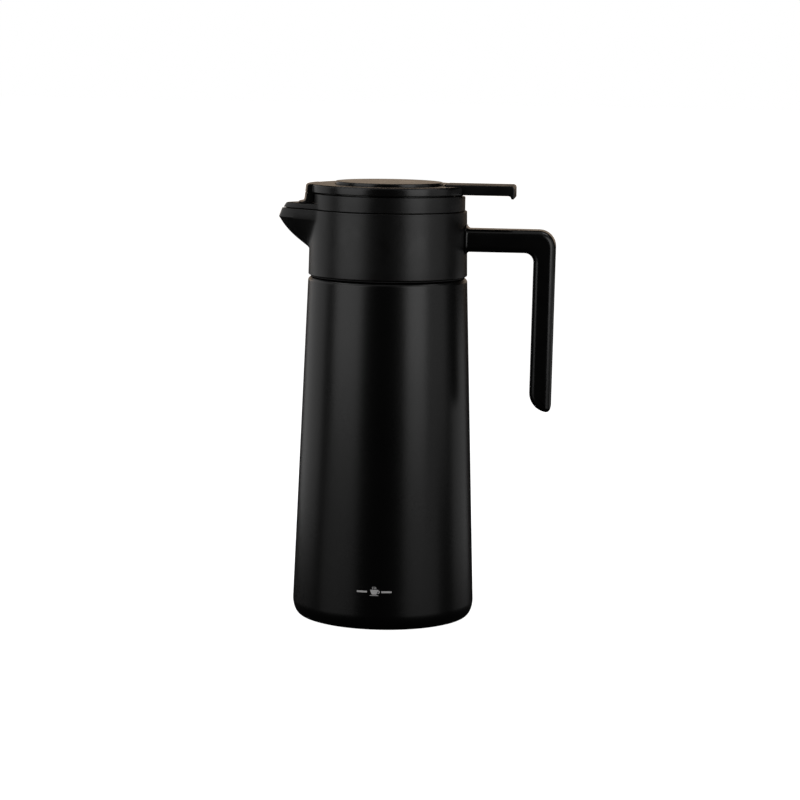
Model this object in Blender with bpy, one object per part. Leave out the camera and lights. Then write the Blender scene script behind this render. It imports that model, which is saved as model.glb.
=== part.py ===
"""Thermal coffee server: a vacuum-walled steel flask with a moulded pouring head,
a side handle and a screw-in lid whose thumb lever lifts a spring-loaded valve.

Metres, +Z up. The flask's axis is Z and it stands on z = 0. The spout points to -X
and the handle to +X. Run it with: blender --background --python part.py
"""

import math

import bmesh
import bpy
from mathutils import Matrix, Vector

MM = 0.001

# ---------------------------------------------------------------- clearances
GAP = 0.3 * MM                 # between pieces that touch on the real object
RUNNING_GAP = 0.4 * MM         # round a piece that turns or slides
FREE_GAP = 1.1 * MM            # beside a piece that swings

# ---------------------------------------------------------------- steel flask
WALL = 0.8 * MM                # drawn steel, drawn a little thick so that it meshes
BASE_RADIUS = 52.0 * MM        # widest, just above the foot
FOOT_RADIUS = 47.5 * MM
FOOT_HEIGHT = 9.0 * MM         # of the curve from the foot to the widest ring
FOOT_LIFT = 0.5 * MM           # the steel clears the table, the pad rests on it
SHOULDER_RADIUS = 45.3 * MM
SHELL_TOP_Z = 195.2 * MM
SHOULDER_CHAMFER = 1.5 * MM
NECK_RADIUS = 38.0 * MM        # outside of the steel neck
NECK_TOP_Z = 209.1 * MM
NECK_BEND = 1.5 * MM
NECK_VACUUM = 1.0 * MM         # between the two necks
VACUUM = 3.2 * MM              # between the two walls
INNER_FLOOR_Z = 10.5 * MM
INNER_CORNER = 12.0 * MM
INNER_SHOULDER = 7.0 * MM      # rise from the inner wall to the inner neck
FLOOR_Z = 2.6 * MM             # underside of the welded base
DIMPLE_RADIUS = 8.0 * MM
DIMPLE_RISE = 2.4 * MM
PORT_RADIUS = 1.6 * MM         # hole that the vacuum is drawn through
SEAL_BUTTON_RADIUS = 3.4 * MM
SEAL_BUTTON_HEIGHT = 1.3 * MM
FOIL_THICKNESS = 0.2 * MM
FOIL_START_Z = 26.0 * MM
FOIL_MARGIN = 6.0 * MM         # from the foil's top to the inner shoulder
GETTER_RADIUS = 5.0 * MM
GETTER_HEIGHT = 1.9 * MM
GETTER_OFFSET = 16.0 * MM
PAD_EDGE = 0.6 * MM

# ---------------------------------------------------------------- pouring head
COLLAR_HEIGHT = 0.6 * MM       # dark ring in the groove under the head
COLLAR_INSET = 1.4 * MM
HEAD_HEIGHT = 36.9 * MM
HEAD_FOOT_RADIUS = 45.2 * MM
HEAD_TOP_RADIUS = 44.5 * MM
HEAD_EDGE = 0.6 * MM
HEAD_SLEEVE = 2.0 * MM         # wall that grips the steel neck
HEAD_SKIN = 2.5 * MM           # outer wall below the ledge
HEAD_BORE_RADIUS = 40.5 * MM
LEDGE_HEIGHT = 6.9 * MM        # threaded ring that the plug screws into
THREAD_BORE_INSET = 1.7 * MM   # of the threaded bore inside the neck's outer face
NECK_GASKET_HEIGHT = 1.2 * MM
SPOUT_REACH = 62.8 * MM
SPOUT_MOUTH_REACH = 61.0 * MM  # at the spout's top edge
SPOUT_DROP = 22.4 * MM         # from the head's top edge to the spout's root
SPOUT_NOSE_DROP = 4.9 * MM     # from the head's top edge to the furthest point
SPOUT_SPREAD = 29.0            # degrees to each side, at the top
SPOUT_ROOT_SPREAD = 13.0
SPOUT_WALL = 2.1 * MM
SPOUT_WALL_LIFT = 0.8          # rise of the channel's floor, in wall thicknesses
SPOUT_BULGE = 0.12             # of the spout's underside, as a share of its reach
BEAK_BLUNT = 3.2               # degrees that the beak's tip is rounded over
BEAK_SHARPNESS = 1.55

# ---------------------------------------------------------------- handle
ARM_TOP_Z = 223.7 * MM
ARM_HEIGHT = 12.9 * MM
HANDLE_REACH = 95.2 * MM
HANDLE_LEAN = 0.8 * MM         # the grip's lower end stands this much further in
GRIP_WIDTH = 12.3 * MM
GRIP_END_Z = 120.1 * MM
HANDLE_DEPTH = 19.0 * MM
HANDLE_OUTER_CORNER = 9.5 * MM
HANDLE_INNER_CORNER = 5.0 * MM
GRIP_END_CORNER = 11.0 * MM
GRIP_TIP_CORNER = 2.6 * MM
HANDLE_EDGE = 3.6 * MM
ROOT_FLARE = 2.2 * MM          # the arm widens to its saddle by this much all round
ROOT_START = 41.0 * MM
LINER_DEPTH = 1.5 * MM
LINER_WIDTH = 9.0 * MM
LINER_LENGTH = 64.0 * MM
HANDLE_SCREW_RADIUS = 1.9 * MM
HANDLE_SCREW_HEAD_RADIUS = 3.2 * MM
HANDLE_SCREW_HEAD = 2.0 * MM
HANDLE_SCREW_LENGTH = 13.0 * MM
HANDLE_SCREW_SPACING = 11.0 * MM
HANDLE_SCREW_SINK = 3.4 * MM   # from the thread bore to the underside of the head

# ---------------------------------------------------------------- lid
SEAM = 0.5 * MM                # between the head and the lid
SKIRT_RADIUS = 43.4 * MM
SKIRT_HEIGHT = 8.6 * MM
SKIRT_WALL = 2.4 * MM
LID_FLOOR = 2.3 * MM
CHIN_REACH = 60.2 * MM         # of the cover over the spout
CHIN_HEIGHT = 2.7 * MM
CHIN_SPREAD = 28.0
CHIN_SLOPE = 1.7 * MM          # off the cover's upper edge
COLUMN_REACH = 48.0 * MM       # of the cap's upright, where it meets that cover
COLUMN_WIDTH = 29.4 * MM
COLUMN_FILLET = 3.2 * MM       # of the curve from that cover up to the upright
CAP_RADIUS = 44.6 * MM
CAP_REACH = 47.0 * MM          # of the cap above its upright
CAP_THICKNESS = 4.6 * MM
CAP_SHADOW = 0.7 * MM          # the dark line under the cap
CAP_EDGE = 1.0 * MM
CAP_SPIGOT = 2.0 * MM
CAP_SPIGOT_DEPTH = 3.8 * MM
CAP_WEB = 1.4 * MM
PLATE_RADIUS = 30.7 * MM
PLATE_SINK = 1.2 * MM          # depth of the recess that the plate lies in
PLATE_RIM = 2.8 * MM
PLATE_DOME = 0.1 * MM
STEM_RADIUS = 2.0 * MM
GROMMET_RADIUS = 4.3 * MM
RIM_SEAL_WIDTH = 2.0 * MM
RIM_SEAL_HEIGHT = 2.4 * MM

# ---------------------------------------------------------------- plug and valve
PLUG_CLEARANCE = 0.8 * MM      # between the plug and the flask's mouth
PLUG_BOTTOM_Z = 199.9 * MM
PLUG_WALL = 3.4 * MM
PLUG_FLOOR = 2.0 * MM
PLUG_PORT_RADIUS = 8.5 * MM
PLUG_FLANGE_HEIGHT = 2.4 * MM
PLUG_FLANGE = 2.6 * MM
THREAD_CREST_HEIGHT = 5.4 * MM
SEAL_GROOVE_DEPTH = 1.4 * MM
SEAL_HEIGHT = 4.0 * MM
WINDOW_WIDTH = 24.0 * MM
WINDOW_HEIGHT = 9.6 * MM
BOSS_RADIUS = 3.4 * MM
BOSS_INSET = 2.6 * MM          # of the bosses' axes inside the plug's bore
BOSS_HEIGHT = 12.0 * MM
LID_SCREW_ANGLES = (60.0, 130.0, -130.0, -60.0)
LID_SCREW_RADIUS = 1.3 * MM
LID_SCREW_HEAD_RADIUS = 2.6 * MM
LID_SCREW_HEAD = 1.6 * MM
LID_SCREW_LENGTH = 9.0 * MM
VALVE_RADIUS = 12.5 * MM
VALVE_THICKNESS = 2.2 * MM
VALVE_SEAL_HEIGHT = 1.2 * MM
VALVE_SEAL_WIDTH = 3.4 * MM
SPRING_RADIUS = 5.6 * MM
SPRING_WIRE = 0.5 * MM         # radius
SPRING_TURNS = 7
SPRING_TURN_POINTS = 10
NUT_RADIUS = 4.2 * MM
NUT_HEIGHT = 1.6 * MM

# ---------------------------------------------------------------- lever
PIVOT_X = 35.5 * MM
PIVOT_RISE = 4.0 * MM          # of the pin above the lid's floor
PIN_RADIUS = 1.0 * MM
PIN_LENGTH = 27.2 * MM
LEVER_REACH = 71.7 * MM
LEVER_START = 33.0 * MM
LEVER_WIDTH = 27.6 * MM
LEVER_THICKNESS = 5.6 * MM
LEVER_PROUD = 0.9 * MM         # of the lever's top above the cap's rim
LEVER_LIP = 1.7 * MM           # thickness of the lip at the end
LEVER_LIP_DROP = 1.8 * MM
LEVER_LIP_EDGE = 0.7 * MM
LEVER_CORNER = 1.8 * MM
LEVER_FILLET = 1.7 * MM
LEVER_EDGE = 0.6 * MM
SLOT = 1.7 * MM                # across the top, between the cap and the lever
EAR_WIDTH = 3.5 * MM
EAR_HALF_LENGTH = 2.7 * MM
EAR_SPAN = 22.0 * MM           # over both ears
ARM_HALF_WIDTH = 5.0 * MM
ARM_THICKNESS = 1.6 * MM
FORK_END = 3.6 * MM            # of the fork beyond the stem's axis
POST_WIDTH = 2.6 * MM
POST_HEIGHT = 6.2 * MM

# ---------------------------------------------------------------- mesh fineness
ROUND = 48
SMALL_ROUND = 16
BEAK_STEP = 3.4                # degrees between points near the spout
BODY_STEP = 10.0
SMOOTH_ANGLE = 32.0            # sharper edges stay sharp
BEVEL_ANGLE = 40.0             # sharper edges are rounded by soften

# ---------------------------------------------------------------- worked out
PAD_RADIUS = FOOT_RADIUS - 2.0 * WALL - 2.0 * GAP
HEAD_Z = SHELL_TOP_Z + COLLAR_HEIGHT + 2.0 * GAP
HEAD_TOP_Z = HEAD_Z + HEAD_HEIGHT
LIP_Z = NECK_TOP_Z + GAP
LEDGE_Z = LIP_Z + WALL + NECK_GASKET_HEIGHT + 2.0 * GAP
LEDGE_TOP_Z = LEDGE_Z + LEDGE_HEIGHT
MOUTH_RADIUS = NECK_RADIUS - 2.0 * WALL - NECK_VACUUM
THREAD_BORE_RADIUS = NECK_RADIUS - THREAD_BORE_INSET
LID_Z = HEAD_TOP_Z + SEAM
LID_FLOOR_Z = LID_Z + LID_FLOOR
SKIRT_TOP_Z = LID_Z + SKIRT_HEIGHT
CAP_Z = SKIRT_TOP_Z + CAP_SHADOW
CAP_TOP_Z = CAP_Z + CAP_THICKNESS
PLATE_Z = CAP_TOP_Z - PLATE_SINK
PLUG_TOP_Z = LID_Z - GAP
PLUG_RADIUS = MOUTH_RADIUS - PLUG_CLEARANCE
PLUG_BORE_RADIUS = PLUG_RADIUS - PLUG_WALL
BOSS_CIRCLE = PLUG_BORE_RADIUS - BOSS_INSET
SEAL_Z = PLUG_BOTTOM_Z + PLUG_FLOOR + GAP
VALVE_Z = PLUG_BOTTOM_Z + PLUG_FLOOR + VALVE_SEAL_HEIGHT + 2.0 * GAP
PIVOT_Z = LID_FLOOR_Z + PIVOT_RISE
ARM_Z = LID_FLOOR_Z + FREE_GAP
ARM_TOP = ARM_Z + ARM_THICKNESS
NUT_Z = ARM_TOP + GAP
LEVER_TOP_Z = CAP_TOP_Z + LEVER_PROUD
LEVER_Z = LEVER_TOP_Z - LEVER_THICKNESS


# ---------------------------------------------------------------- materials
def material(name, colour, roughness, metallic=0.0):
    """Return a Principled material with one colour."""
    made = bpy.data.materials.new(name)
    made.use_nodes = True
    shader = made.node_tree.nodes["Principled BSDF"]
    shader.inputs["Base Color"].default_value = (*colour, 1.0)
    shader.inputs["Roughness"].default_value = roughness
    shader.inputs["Metallic"].default_value = metallic
    return made


# ---------------------------------------------------------------- shape helpers
def finish(name, mesh_builder, look):
    """Turn a bmesh into a named object with outward normals and smooth round faces."""
    bmesh.ops.recalc_face_normals(mesh_builder, faces=mesh_builder.faces)
    mesh = bpy.data.meshes.new(name)
    mesh_builder.to_mesh(mesh)
    mesh_builder.free()
    mesh.shade_smooth()
    mesh.set_sharp_from_angle(angle=math.radians(SMOOTH_ANGLE))
    made = bpy.data.objects.new(name, mesh)
    bpy.context.scene.collection.objects.link(made)
    if look is not None:
        mesh.materials.append(look)
    return made


def as_cutter(cutter):
    """Mark an object as a guide that the build leaves out."""
    cutter.hide_render = True
    cutter.display_type = "WIRE"
    return cutter


def combine(target, other, operation):
    """Cut, join or intersect the target with another object, which becomes a guide."""
    step = target.modifiers.new(operation.lower(), "BOOLEAN")
    step.operation = operation
    step.object = as_cutter(other)
    step.solver = "EXACT"


def corner_arc(centre, radii, start, end, steps):
    """Points on a quarter or part ellipse in (x, z), from one angle to another."""
    points = []
    for index in range(steps + 1):
        angle = math.radians(start + (end - start) * index / steps)
        x = centre[0] + radii[0] * math.cos(angle)
        points.append((x, centre[1] + radii[1] * math.sin(angle)))
    return points


def rounded_outline(corners, steps=6):
    """Round each (x, z, radius) corner of a closed outline with an arc."""
    outline = []
    count = len(corners)
    for index, (x, z, radius) in enumerate(corners):
        here = Vector((x, z))
        before = Vector(corners[index - 1][:2])
        after = Vector(corners[(index + 1) % count][:2])
        if radius <= 0.0:
            outline.append((x, z))
            continue
        arriving = (before - here).normalized()
        leaving = (after - here).normalized()
        half = arriving.angle(leaving) / 2.0
        middle = (arriving + leaving).normalized()
        centre = here + middle * (radius / math.sin(half))
        first = here + arriving * (radius / math.tan(half)) - centre
        last = here + leaving * (radius / math.tan(half)) - centre
        sweep = first.angle_signed(last)
        for step in range(steps + 1):
            turn = Matrix.Rotation(-sweep * step / steps, 2)
            outline.append(tuple(centre + turn @ first))
    return outline


def spout_angles():
    """Angles from the spout's direction, close together near the spout."""
    half = []
    angle = 0.0
    while angle < SPOUT_SPREAD:
        half.append(angle)
        angle += BEAK_STEP
    count = round((180.0 - angle) / BODY_STEP)
    half += [angle + (180.0 - angle) * index / count for index in range(count)]
    return half + [180.0] + [360.0 - value for value in reversed(half[1:])]


def beak(radius, reach, spread, angle):
    """Radius of an outline that is round but for a pointed beak towards the spout."""
    away = min(angle, 360.0 - angle)
    away = math.hypot(away, BEAK_BLUNT) - BEAK_BLUNT
    share = max(0.0, 1.0 - away / spread)
    return radius + (reach - radius) * share ** BEAK_SHARPNESS


def beaked_ring(builder, station, angles):
    """One ring of vertices; a station is (radius, z, reach, spread)."""
    radius, z, reach, spread = station
    ring = []
    for angle in angles:
        length = beak(radius, reach, spread, angle)
        turn = math.radians(180.0 + angle)
        ring.append(builder.verts.new((length * math.cos(turn), length * math.sin(turn), z)))
    return ring


def skin(builder, rings, closed):
    """Join each ring to the next; close the stack on itself, or cap both its ends."""
    count = len(rings[0])
    pairs = list(zip(rings, rings[1:]))
    if closed:
        pairs.append((rings[-1], rings[0]))
    for lower, upper in pairs:
        for index in range(count):
            following = (index + 1) % count
            builder.faces.new((lower[index], lower[following], upper[following], upper[index]))
    if not closed:
        builder.faces.new(rings[0])
        builder.faces.new(rings[-1])


def beaked(name, stations, look, closed=True):
    """A round moulding whose outline may stand out towards the spout."""
    builder = bmesh.new()
    angles = spout_angles()
    rings = [beaked_ring(builder, station, angles) for station in stations]
    skin(builder, rings, closed)
    return finish(name, builder, look)


def plain(radius, z):
    """A station with no beak."""
    return (radius, z, radius, SPOUT_SPREAD)


def turned(name, profile, look, closed=True, sides=ROUND, axis=(0.0, 0.0)):
    """A turned piece from (radius, z) points; closed is a ring, open has flat ends."""
    builder = bmesh.new()
    rings = []
    for radius, z in profile:
        ring = []
        for index in range(sides):
            turn = 2.0 * math.pi * index / sides
            x = axis[0] + radius * math.cos(turn)
            ring.append(builder.verts.new((x, axis[1] + radius * math.sin(turn), z)))
        rings.append(ring)
    skin(builder, rings, closed)
    return finish(name, builder, look)


def tube(name, inner, outer, low, high, look, sides=ROUND):
    """A plain ring of rectangular section."""
    profile = [(inner, low), (outer, low), (outer, high), (inner, high)]
    return turned(name, profile, look, sides=sides)


def slab(name, low, high, look=None):
    """A box between two corners."""
    builder = bmesh.new()
    bmesh.ops.create_cube(builder, size=1.0)
    size = Vector(high) - Vector(low)
    centre = (Vector(high) + Vector(low)) / 2.0
    bmesh.ops.scale(builder, vec=size, verts=builder.verts)
    bmesh.ops.translate(builder, vec=centre, verts=builder.verts)
    return finish(name, builder, look)


def rod(name, radius, start, end, look=None, sides=SMALL_ROUND):
    """A cylinder between two points."""
    start, end = Vector(start), Vector(end)
    builder = bmesh.new()
    bmesh.ops.create_cone(builder, cap_ends=True, segments=sides, radius1=radius,
                          radius2=radius, depth=(end - start).length)
    turn = Vector((0.0, 0.0, 1.0)).rotation_difference((end - start).normalized())
    bmesh.ops.rotate(builder, cent=(0.0, 0.0, 0.0), matrix=turn.to_matrix(), verts=builder.verts)
    bmesh.ops.translate(builder, vec=(start + end) / 2.0, verts=builder.verts)
    return finish(name, builder, look)


def across(name, outline, depth, look):
    """An (x, z) outline with thickness along Y, centred on y = 0."""
    builder = bmesh.new()
    rings = []
    for side in (-1.0, 1.0):
        rings.append([builder.verts.new((x, side * depth / 2.0, z)) for x, z in outline])
    skin(builder, rings, False)
    return finish(name, builder, look)


def soften(target, width, segments=3):
    """Round the edges between faces that meet sharply."""
    step = target.modifiers.new("soften", "BEVEL")
    step.width = width
    step.segments = segments
    step.limit_method = "ANGLE"
    step.angle_limit = math.radians(BEVEL_ANGLE)
    step.use_clamp_overlap = True


def place(target, origin, parent=None):
    """Move an object's origin without moving its shape, and hang it on its parent."""
    origin = Vector(origin)
    target.data.transform(Matrix.Translation(-origin))
    target.location = origin - (parent.location if parent else Vector())
    target.parent = parent
    return target


def axis_empty(name, location):
    """An empty that stands on a joint's axis and carries a moving body."""
    empty = bpy.data.objects.new(name, None)
    empty.location = location
    bpy.context.scene.collection.objects.link(empty)
    return empty


# ---------------------------------------------------------------- steel flask
def wall_radius(z, inset=0.0):
    """Radius of the tapered outer wall at a height, less an inset."""
    low = FOOT_LIFT + FOOT_HEIGHT
    high = SHELL_TOP_Z - SHOULDER_CHAMFER
    share = (z - low) / (high - low)
    return BASE_RADIUS + (SHOULDER_RADIUS - BASE_RADIUS) * share - inset


def shell_profile(inset):
    """The outer wall's section, from the foot to the top of the neck."""
    swell = BASE_RADIUS - FOOT_RADIUS
    foot = corner_arc((BASE_RADIUS - swell, FOOT_LIFT + FOOT_HEIGHT),
                      (swell - inset, FOOT_HEIGHT), -90.0, 0.0, 5)
    foot[0] = (FOOT_RADIUS - inset, FOOT_LIFT)
    shift = inset * math.tan(math.pi / 8.0)
    chamfer = (SHOULDER_RADIUS - SHOULDER_CHAMFER - shift, SHELL_TOP_Z - inset)
    bend = NECK_BEND + inset
    centre = (NECK_RADIUS + NECK_BEND, SHELL_TOP_Z + NECK_BEND)
    neck = corner_arc(centre, (bend, bend), 270.0, 180.0, 2)
    side = (wall_radius(SHELL_TOP_Z - SHOULDER_CHAMFER, inset),
            SHELL_TOP_Z - SHOULDER_CHAMFER - shift)
    return foot + [side, chamfer] + neck + [(NECK_RADIUS - inset, NECK_TOP_Z)]


def build_outer_shell(look):
    """The drawn outer wall, with its shoulder and neck."""
    profile = shell_profile(0.0) + list(reversed(shell_profile(WALL)))
    return turned("outer_shell", profile, look)


def inner_profile(inset):
    """The inner wall's section, from the middle of its floor to its mouth."""
    stand_off = WALL + VACUUM + inset
    corner = INNER_CORNER - inset
    floor_radius = wall_radius(INNER_FLOOR_Z + INNER_CORNER, stand_off)
    centre = (floor_radius - corner, INNER_FLOOR_Z + INNER_CORNER)
    floor = corner_arc(centre, (corner, corner), -90.0, 0.0, 4)
    neck = MOUTH_RADIUS + WALL - inset
    top = inner_shoulder_z()
    lip = [(neck, top + INNER_SHOULDER), (neck, LIP_Z + inset)]
    return floor + [(wall_radius(top, stand_off), top)] + lip


def inner_shoulder_z():
    """Height at which the inner wall turns in to its neck."""
    return SHELL_TOP_Z - WALL - INNER_SHOULDER - VACUUM


def build_inner_vessel(look):
    """The inner wall that holds the coffee, with the lip that joins both walls."""
    outside = inner_profile(0.0)
    inside = inner_profile(WALL)
    lip = [(NECK_RADIUS, LIP_Z), (NECK_RADIUS, LIP_Z + WALL)]
    profile = outside + lip + list(reversed(inside))
    return turned("inner_vessel", profile, look, closed=False)


def build_shell_base(look):
    """The pressed disc welded into the foot, with a dimple round the vacuum port."""
    rim = FOOT_RADIUS - WALL - GAP
    slope = DIMPLE_RADIUS + DIMPLE_RISE
    low = [(rim, FOOT_LIFT), (rim, FLOOR_Z + WALL), (slope, FLOOR_Z + WALL),
           (DIMPLE_RADIUS, FLOOR_Z + DIMPLE_RISE + WALL),
           (PORT_RADIUS, FLOOR_Z + DIMPLE_RISE + WALL), (PORT_RADIUS, FLOOR_Z + DIMPLE_RISE),
           (DIMPLE_RADIUS, FLOOR_Z + DIMPLE_RISE), (slope, FLOOR_Z),
           (rim - WALL, FLOOR_Z), (rim - WALL, FOOT_LIFT)]
    return turned("shell_base", low, look)


def build_vacuum_seal(look):
    """The button that closes the vacuum port from below."""
    top = FLOOR_Z + DIMPLE_RISE - GAP
    stem = PORT_RADIUS - GAP
    profile = [(SEAL_BUTTON_RADIUS, top - SEAL_BUTTON_HEIGHT), (SEAL_BUTTON_RADIUS, top),
               (stem, top), (stem, top + GAP + WALL)]
    return turned("vacuum_seal", profile, look, closed=False, sides=SMALL_ROUND)


def build_foil(look):
    """The foil round the inner wall that throws heat back."""
    inset = WALL + (VACUUM - FOIL_THICKNESS) / 2.0
    high = inner_shoulder_z() - FOIL_MARGIN
    profile = [(wall_radius(FOIL_START_Z, inset), FOIL_START_Z), (wall_radius(high, inset), high)]
    inside = [(radius - FOIL_THICKNESS, z) for radius, z in reversed(profile)]
    return turned("radiation_foil", profile + inside, look)


def build_getter(look):
    """The pellet under the inner floor that soaks up stray gas."""
    high = INNER_FLOOR_Z - GAP
    getter = rod("getter", GETTER_RADIUS, (GETTER_OFFSET, 0.0, high - GETTER_HEIGHT),
                 (GETTER_OFFSET, 0.0, high), look)
    return place(getter, (GETTER_OFFSET, 0.0, high))


def build_base_pad(look):
    """The non-slip pad that the server stands on."""
    high = FLOOR_Z - GAP
    profile = [(PAD_RADIUS - PAD_EDGE, 0.0), (PAD_RADIUS, PAD_EDGE),
               (PAD_RADIUS, high - PAD_EDGE), (PAD_RADIUS - PAD_EDGE, high)]
    return turned("base_pad", profile, look, closed=False)


# ---------------------------------------------------------------- pouring head
def head_radius(z):
    """Outer radius of the head at a height."""
    share = (z - HEAD_Z) / HEAD_HEIGHT
    return HEAD_FOOT_RADIUS + (HEAD_TOP_RADIUS - HEAD_FOOT_RADIUS) * share


def spout_stations(inset, base_radius, low, high):
    """Beaked stations up the spout, inset by its wall for the channel inside."""
    root = HEAD_TOP_Z - SPOUT_DROP
    nose = HEAD_TOP_Z - SPOUT_NOSE_DROP
    steps = 5
    stations = []
    for index in range(steps + 1):
        share = index / steps
        z = root + (nose - root) * share
        radius = base_radius(z)
        lean = share + SPOUT_BULGE * math.sin(math.pi * share)
        reach = head_radius(z) + (SPOUT_REACH - head_radius(z)) * lean
        spread = SPOUT_ROOT_SPREAD + (SPOUT_SPREAD - SPOUT_ROOT_SPREAD) * share
        lifted = z + SPOUT_WALL_LIFT * inset
        if low < lifted < high:
            stations.append((radius, lifted, max(radius, reach - inset), spread))
    edge = (base_radius(high), high, SPOUT_MOUTH_REACH - inset, SPOUT_SPREAD)
    return stations + [edge]


def build_head(look):
    """The pouring head: sleeve, threaded ledge, open bore and spout."""
    sleeve = NECK_RADIUS + RUNNING_GAP
    skin_radius = head_radius(LEDGE_Z) - HEAD_SKIN
    outside = [plain(head_radius(HEAD_Z) - HEAD_EDGE, HEAD_Z),
               plain(head_radius(HEAD_Z), HEAD_Z + HEAD_EDGE),
               plain(head_radius(HEAD_TOP_Z - SPOUT_DROP), HEAD_TOP_Z - SPOUT_DROP)]
    outside += spout_stations(0.0, head_radius, HEAD_TOP_Z - SPOUT_DROP, HEAD_TOP_Z - HEAD_EDGE)
    top = [(HEAD_TOP_RADIUS - HEAD_EDGE, HEAD_TOP_Z, SPOUT_MOUTH_REACH - HEAD_EDGE, SPOUT_SPREAD)]
    channel = spout_stations(SPOUT_WALL, lambda z: HEAD_BORE_RADIUS, LEDGE_TOP_Z + HEAD_EDGE,
                             HEAD_TOP_Z - HEAD_EDGE)
    top.append((HEAD_BORE_RADIUS + HEAD_EDGE, HEAD_TOP_Z,
                SPOUT_MOUTH_REACH - SPOUT_WALL + HEAD_EDGE, SPOUT_SPREAD))
    inside = [plain(HEAD_BORE_RADIUS, LEDGE_TOP_Z + HEAD_EDGE),
              plain(HEAD_BORE_RADIUS - HEAD_EDGE, LEDGE_TOP_Z),
              plain(THREAD_BORE_RADIUS + HEAD_EDGE, LEDGE_TOP_Z),
              plain(THREAD_BORE_RADIUS, LEDGE_TOP_Z - HEAD_EDGE),
              plain(THREAD_BORE_RADIUS, LEDGE_Z),
              plain(sleeve, LEDGE_Z),
              plain(sleeve, HEAD_Z),
              plain(sleeve + HEAD_SLEEVE, HEAD_Z),
              plain(sleeve + HEAD_SLEEVE, LEDGE_Z - HEAD_SLEEVE),
              plain(skin_radius, LEDGE_Z - HEAD_SLEEVE),
              plain(skin_radius, HEAD_Z)]
    head = beaked("pouring_head", outside + top + list(reversed(channel)) + inside, look)
    for side in (-1.0, 1.0):
        combine(head, screw_space(side), "DIFFERENCE")
    return head


def handle_screw_height():
    """Height of both handle screws, half-way up the threaded ledge."""
    return LEDGE_Z + LEDGE_HEIGHT / 2.0


def screw_space(side):
    """The pocket and hole that a handle screw takes in the ledge."""
    y = side * HANDLE_SCREW_SPACING / 2.0
    z = handle_screw_height()
    seat = THREAD_BORE_RADIUS + HANDLE_SCREW_SINK
    pocket = turned("screw_space_%d" % side, [
        (HANDLE_SCREW_HEAD_RADIUS + GAP, 0.0),
        (HANDLE_SCREW_HEAD_RADIUS + GAP, seat),
        (HANDLE_SCREW_RADIUS + GAP, seat),
        (HANDLE_SCREW_RADIUS + GAP, seat + HANDLE_SCREW_LENGTH + GAP)],
        None, closed=False, sides=SMALL_ROUND)
    pocket.data.transform(Matrix.Rotation(math.pi / 2.0, 4, "Y"))
    pocket.data.transform(Matrix.Translation((0.0, y, z)))
    return pocket


def build_handle_screw(index, side, look):
    """One pan-head screw from the ledge into the handle's root."""
    seat = THREAD_BORE_RADIUS + HANDLE_SCREW_SINK - GAP
    screw = turned("handle_screw_%d" % index, [
        (HANDLE_SCREW_HEAD_RADIUS, 0.0), (HANDLE_SCREW_HEAD_RADIUS, HANDLE_SCREW_HEAD),
        (HANDLE_SCREW_RADIUS, HANDLE_SCREW_HEAD),
        (HANDLE_SCREW_RADIUS, HANDLE_SCREW_HEAD + HANDLE_SCREW_LENGTH)],
        look, closed=False, sides=SMALL_ROUND)
    screw.rotation_euler = (0.0, math.pi / 2.0, 0.0)
    screw.location = (seat - HANDLE_SCREW_HEAD, side * HANDLE_SCREW_SPACING / 2.0,
                      handle_screw_height())
    return screw


def build_collar_ring(look):
    """The dark ring in the groove between the steel shoulder and the head."""
    low = SHELL_TOP_Z + GAP
    inner = NECK_RADIUS + NECK_BEND + GAP
    return tube("collar_ring", inner, SHOULDER_RADIUS - COLLAR_INSET, low,
                low + COLLAR_HEIGHT, look)


def build_neck_gasket(look):
    """The flat gasket between the steel lip and the head's ledge."""
    low = LIP_Z + WALL + GAP
    return tube("neck_gasket", THREAD_BORE_RADIUS + GAP, NECK_RADIUS, low,
                low + NECK_GASKET_HEIGHT, look)


# ---------------------------------------------------------------- handle
def handle_outline():
    """The handle seen from the side: a level arm, and a grip that hangs from it."""
    top = ARM_TOP_Z
    under = ARM_TOP_Z - ARM_HEIGHT
    inner = HANDLE_REACH - GRIP_WIDTH
    low_outer = HANDLE_REACH - HANDLE_LEAN
    low_inner = inner - HANDLE_LEAN
    return rounded_outline([
        (ROOT_START, top, 0.0), (ROOT_START, under, 0.0),
        (inner, under, HANDLE_INNER_CORNER),
        (low_inner, GRIP_END_Z + GRIP_TIP_CORNER, GRIP_END_CORNER),
        (low_outer, GRIP_END_Z, GRIP_TIP_CORNER),
        (HANDLE_REACH, top, HANDLE_OUTER_CORNER)])


def build_root_flare():
    """The saddle end of the arm, wider all round and faired into the arm."""
    builder = bmesh.new()
    steps = 6
    rings = []
    middle = ARM_TOP_Z - ARM_HEIGHT / 2.0
    wall = head_radius(middle)
    for index in range(steps + 1):
        share = index / steps
        grow = ROOT_FLARE * (1.0 - math.sin(share * math.pi / 2.0))
        x = wall + ROOT_FLARE * (1.0 - math.cos(share * math.pi / 2.0))
        half_height = ARM_HEIGHT / 2.0 - GAP + grow
        half_depth = HANDLE_DEPTH / 2.0 - GAP + grow
        if index == 0:
            start = ROOT_START + GAP
            rings.append(flare_ring(builder, start, middle, half_height, half_depth, grow))
        rings.append(flare_ring(builder, x, middle, half_height, half_depth, grow))
    skin(builder, rings, False)
    return finish("root_flare", builder, None)


def flare_ring(builder, x, middle, half_height, half_depth, grow):
    """One rounded rectangle of the saddle, facing along X."""
    corners = [(-half_depth, -half_height), (half_depth, -half_height),
               (half_depth, half_height), (-half_depth, half_height)]
    corner = HANDLE_EDGE + GAP + grow
    outline = rounded_outline([(y, z, corner) for y, z in corners], steps=5)
    return [builder.verts.new((x, y, middle + z)) for y, z in outline]


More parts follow.
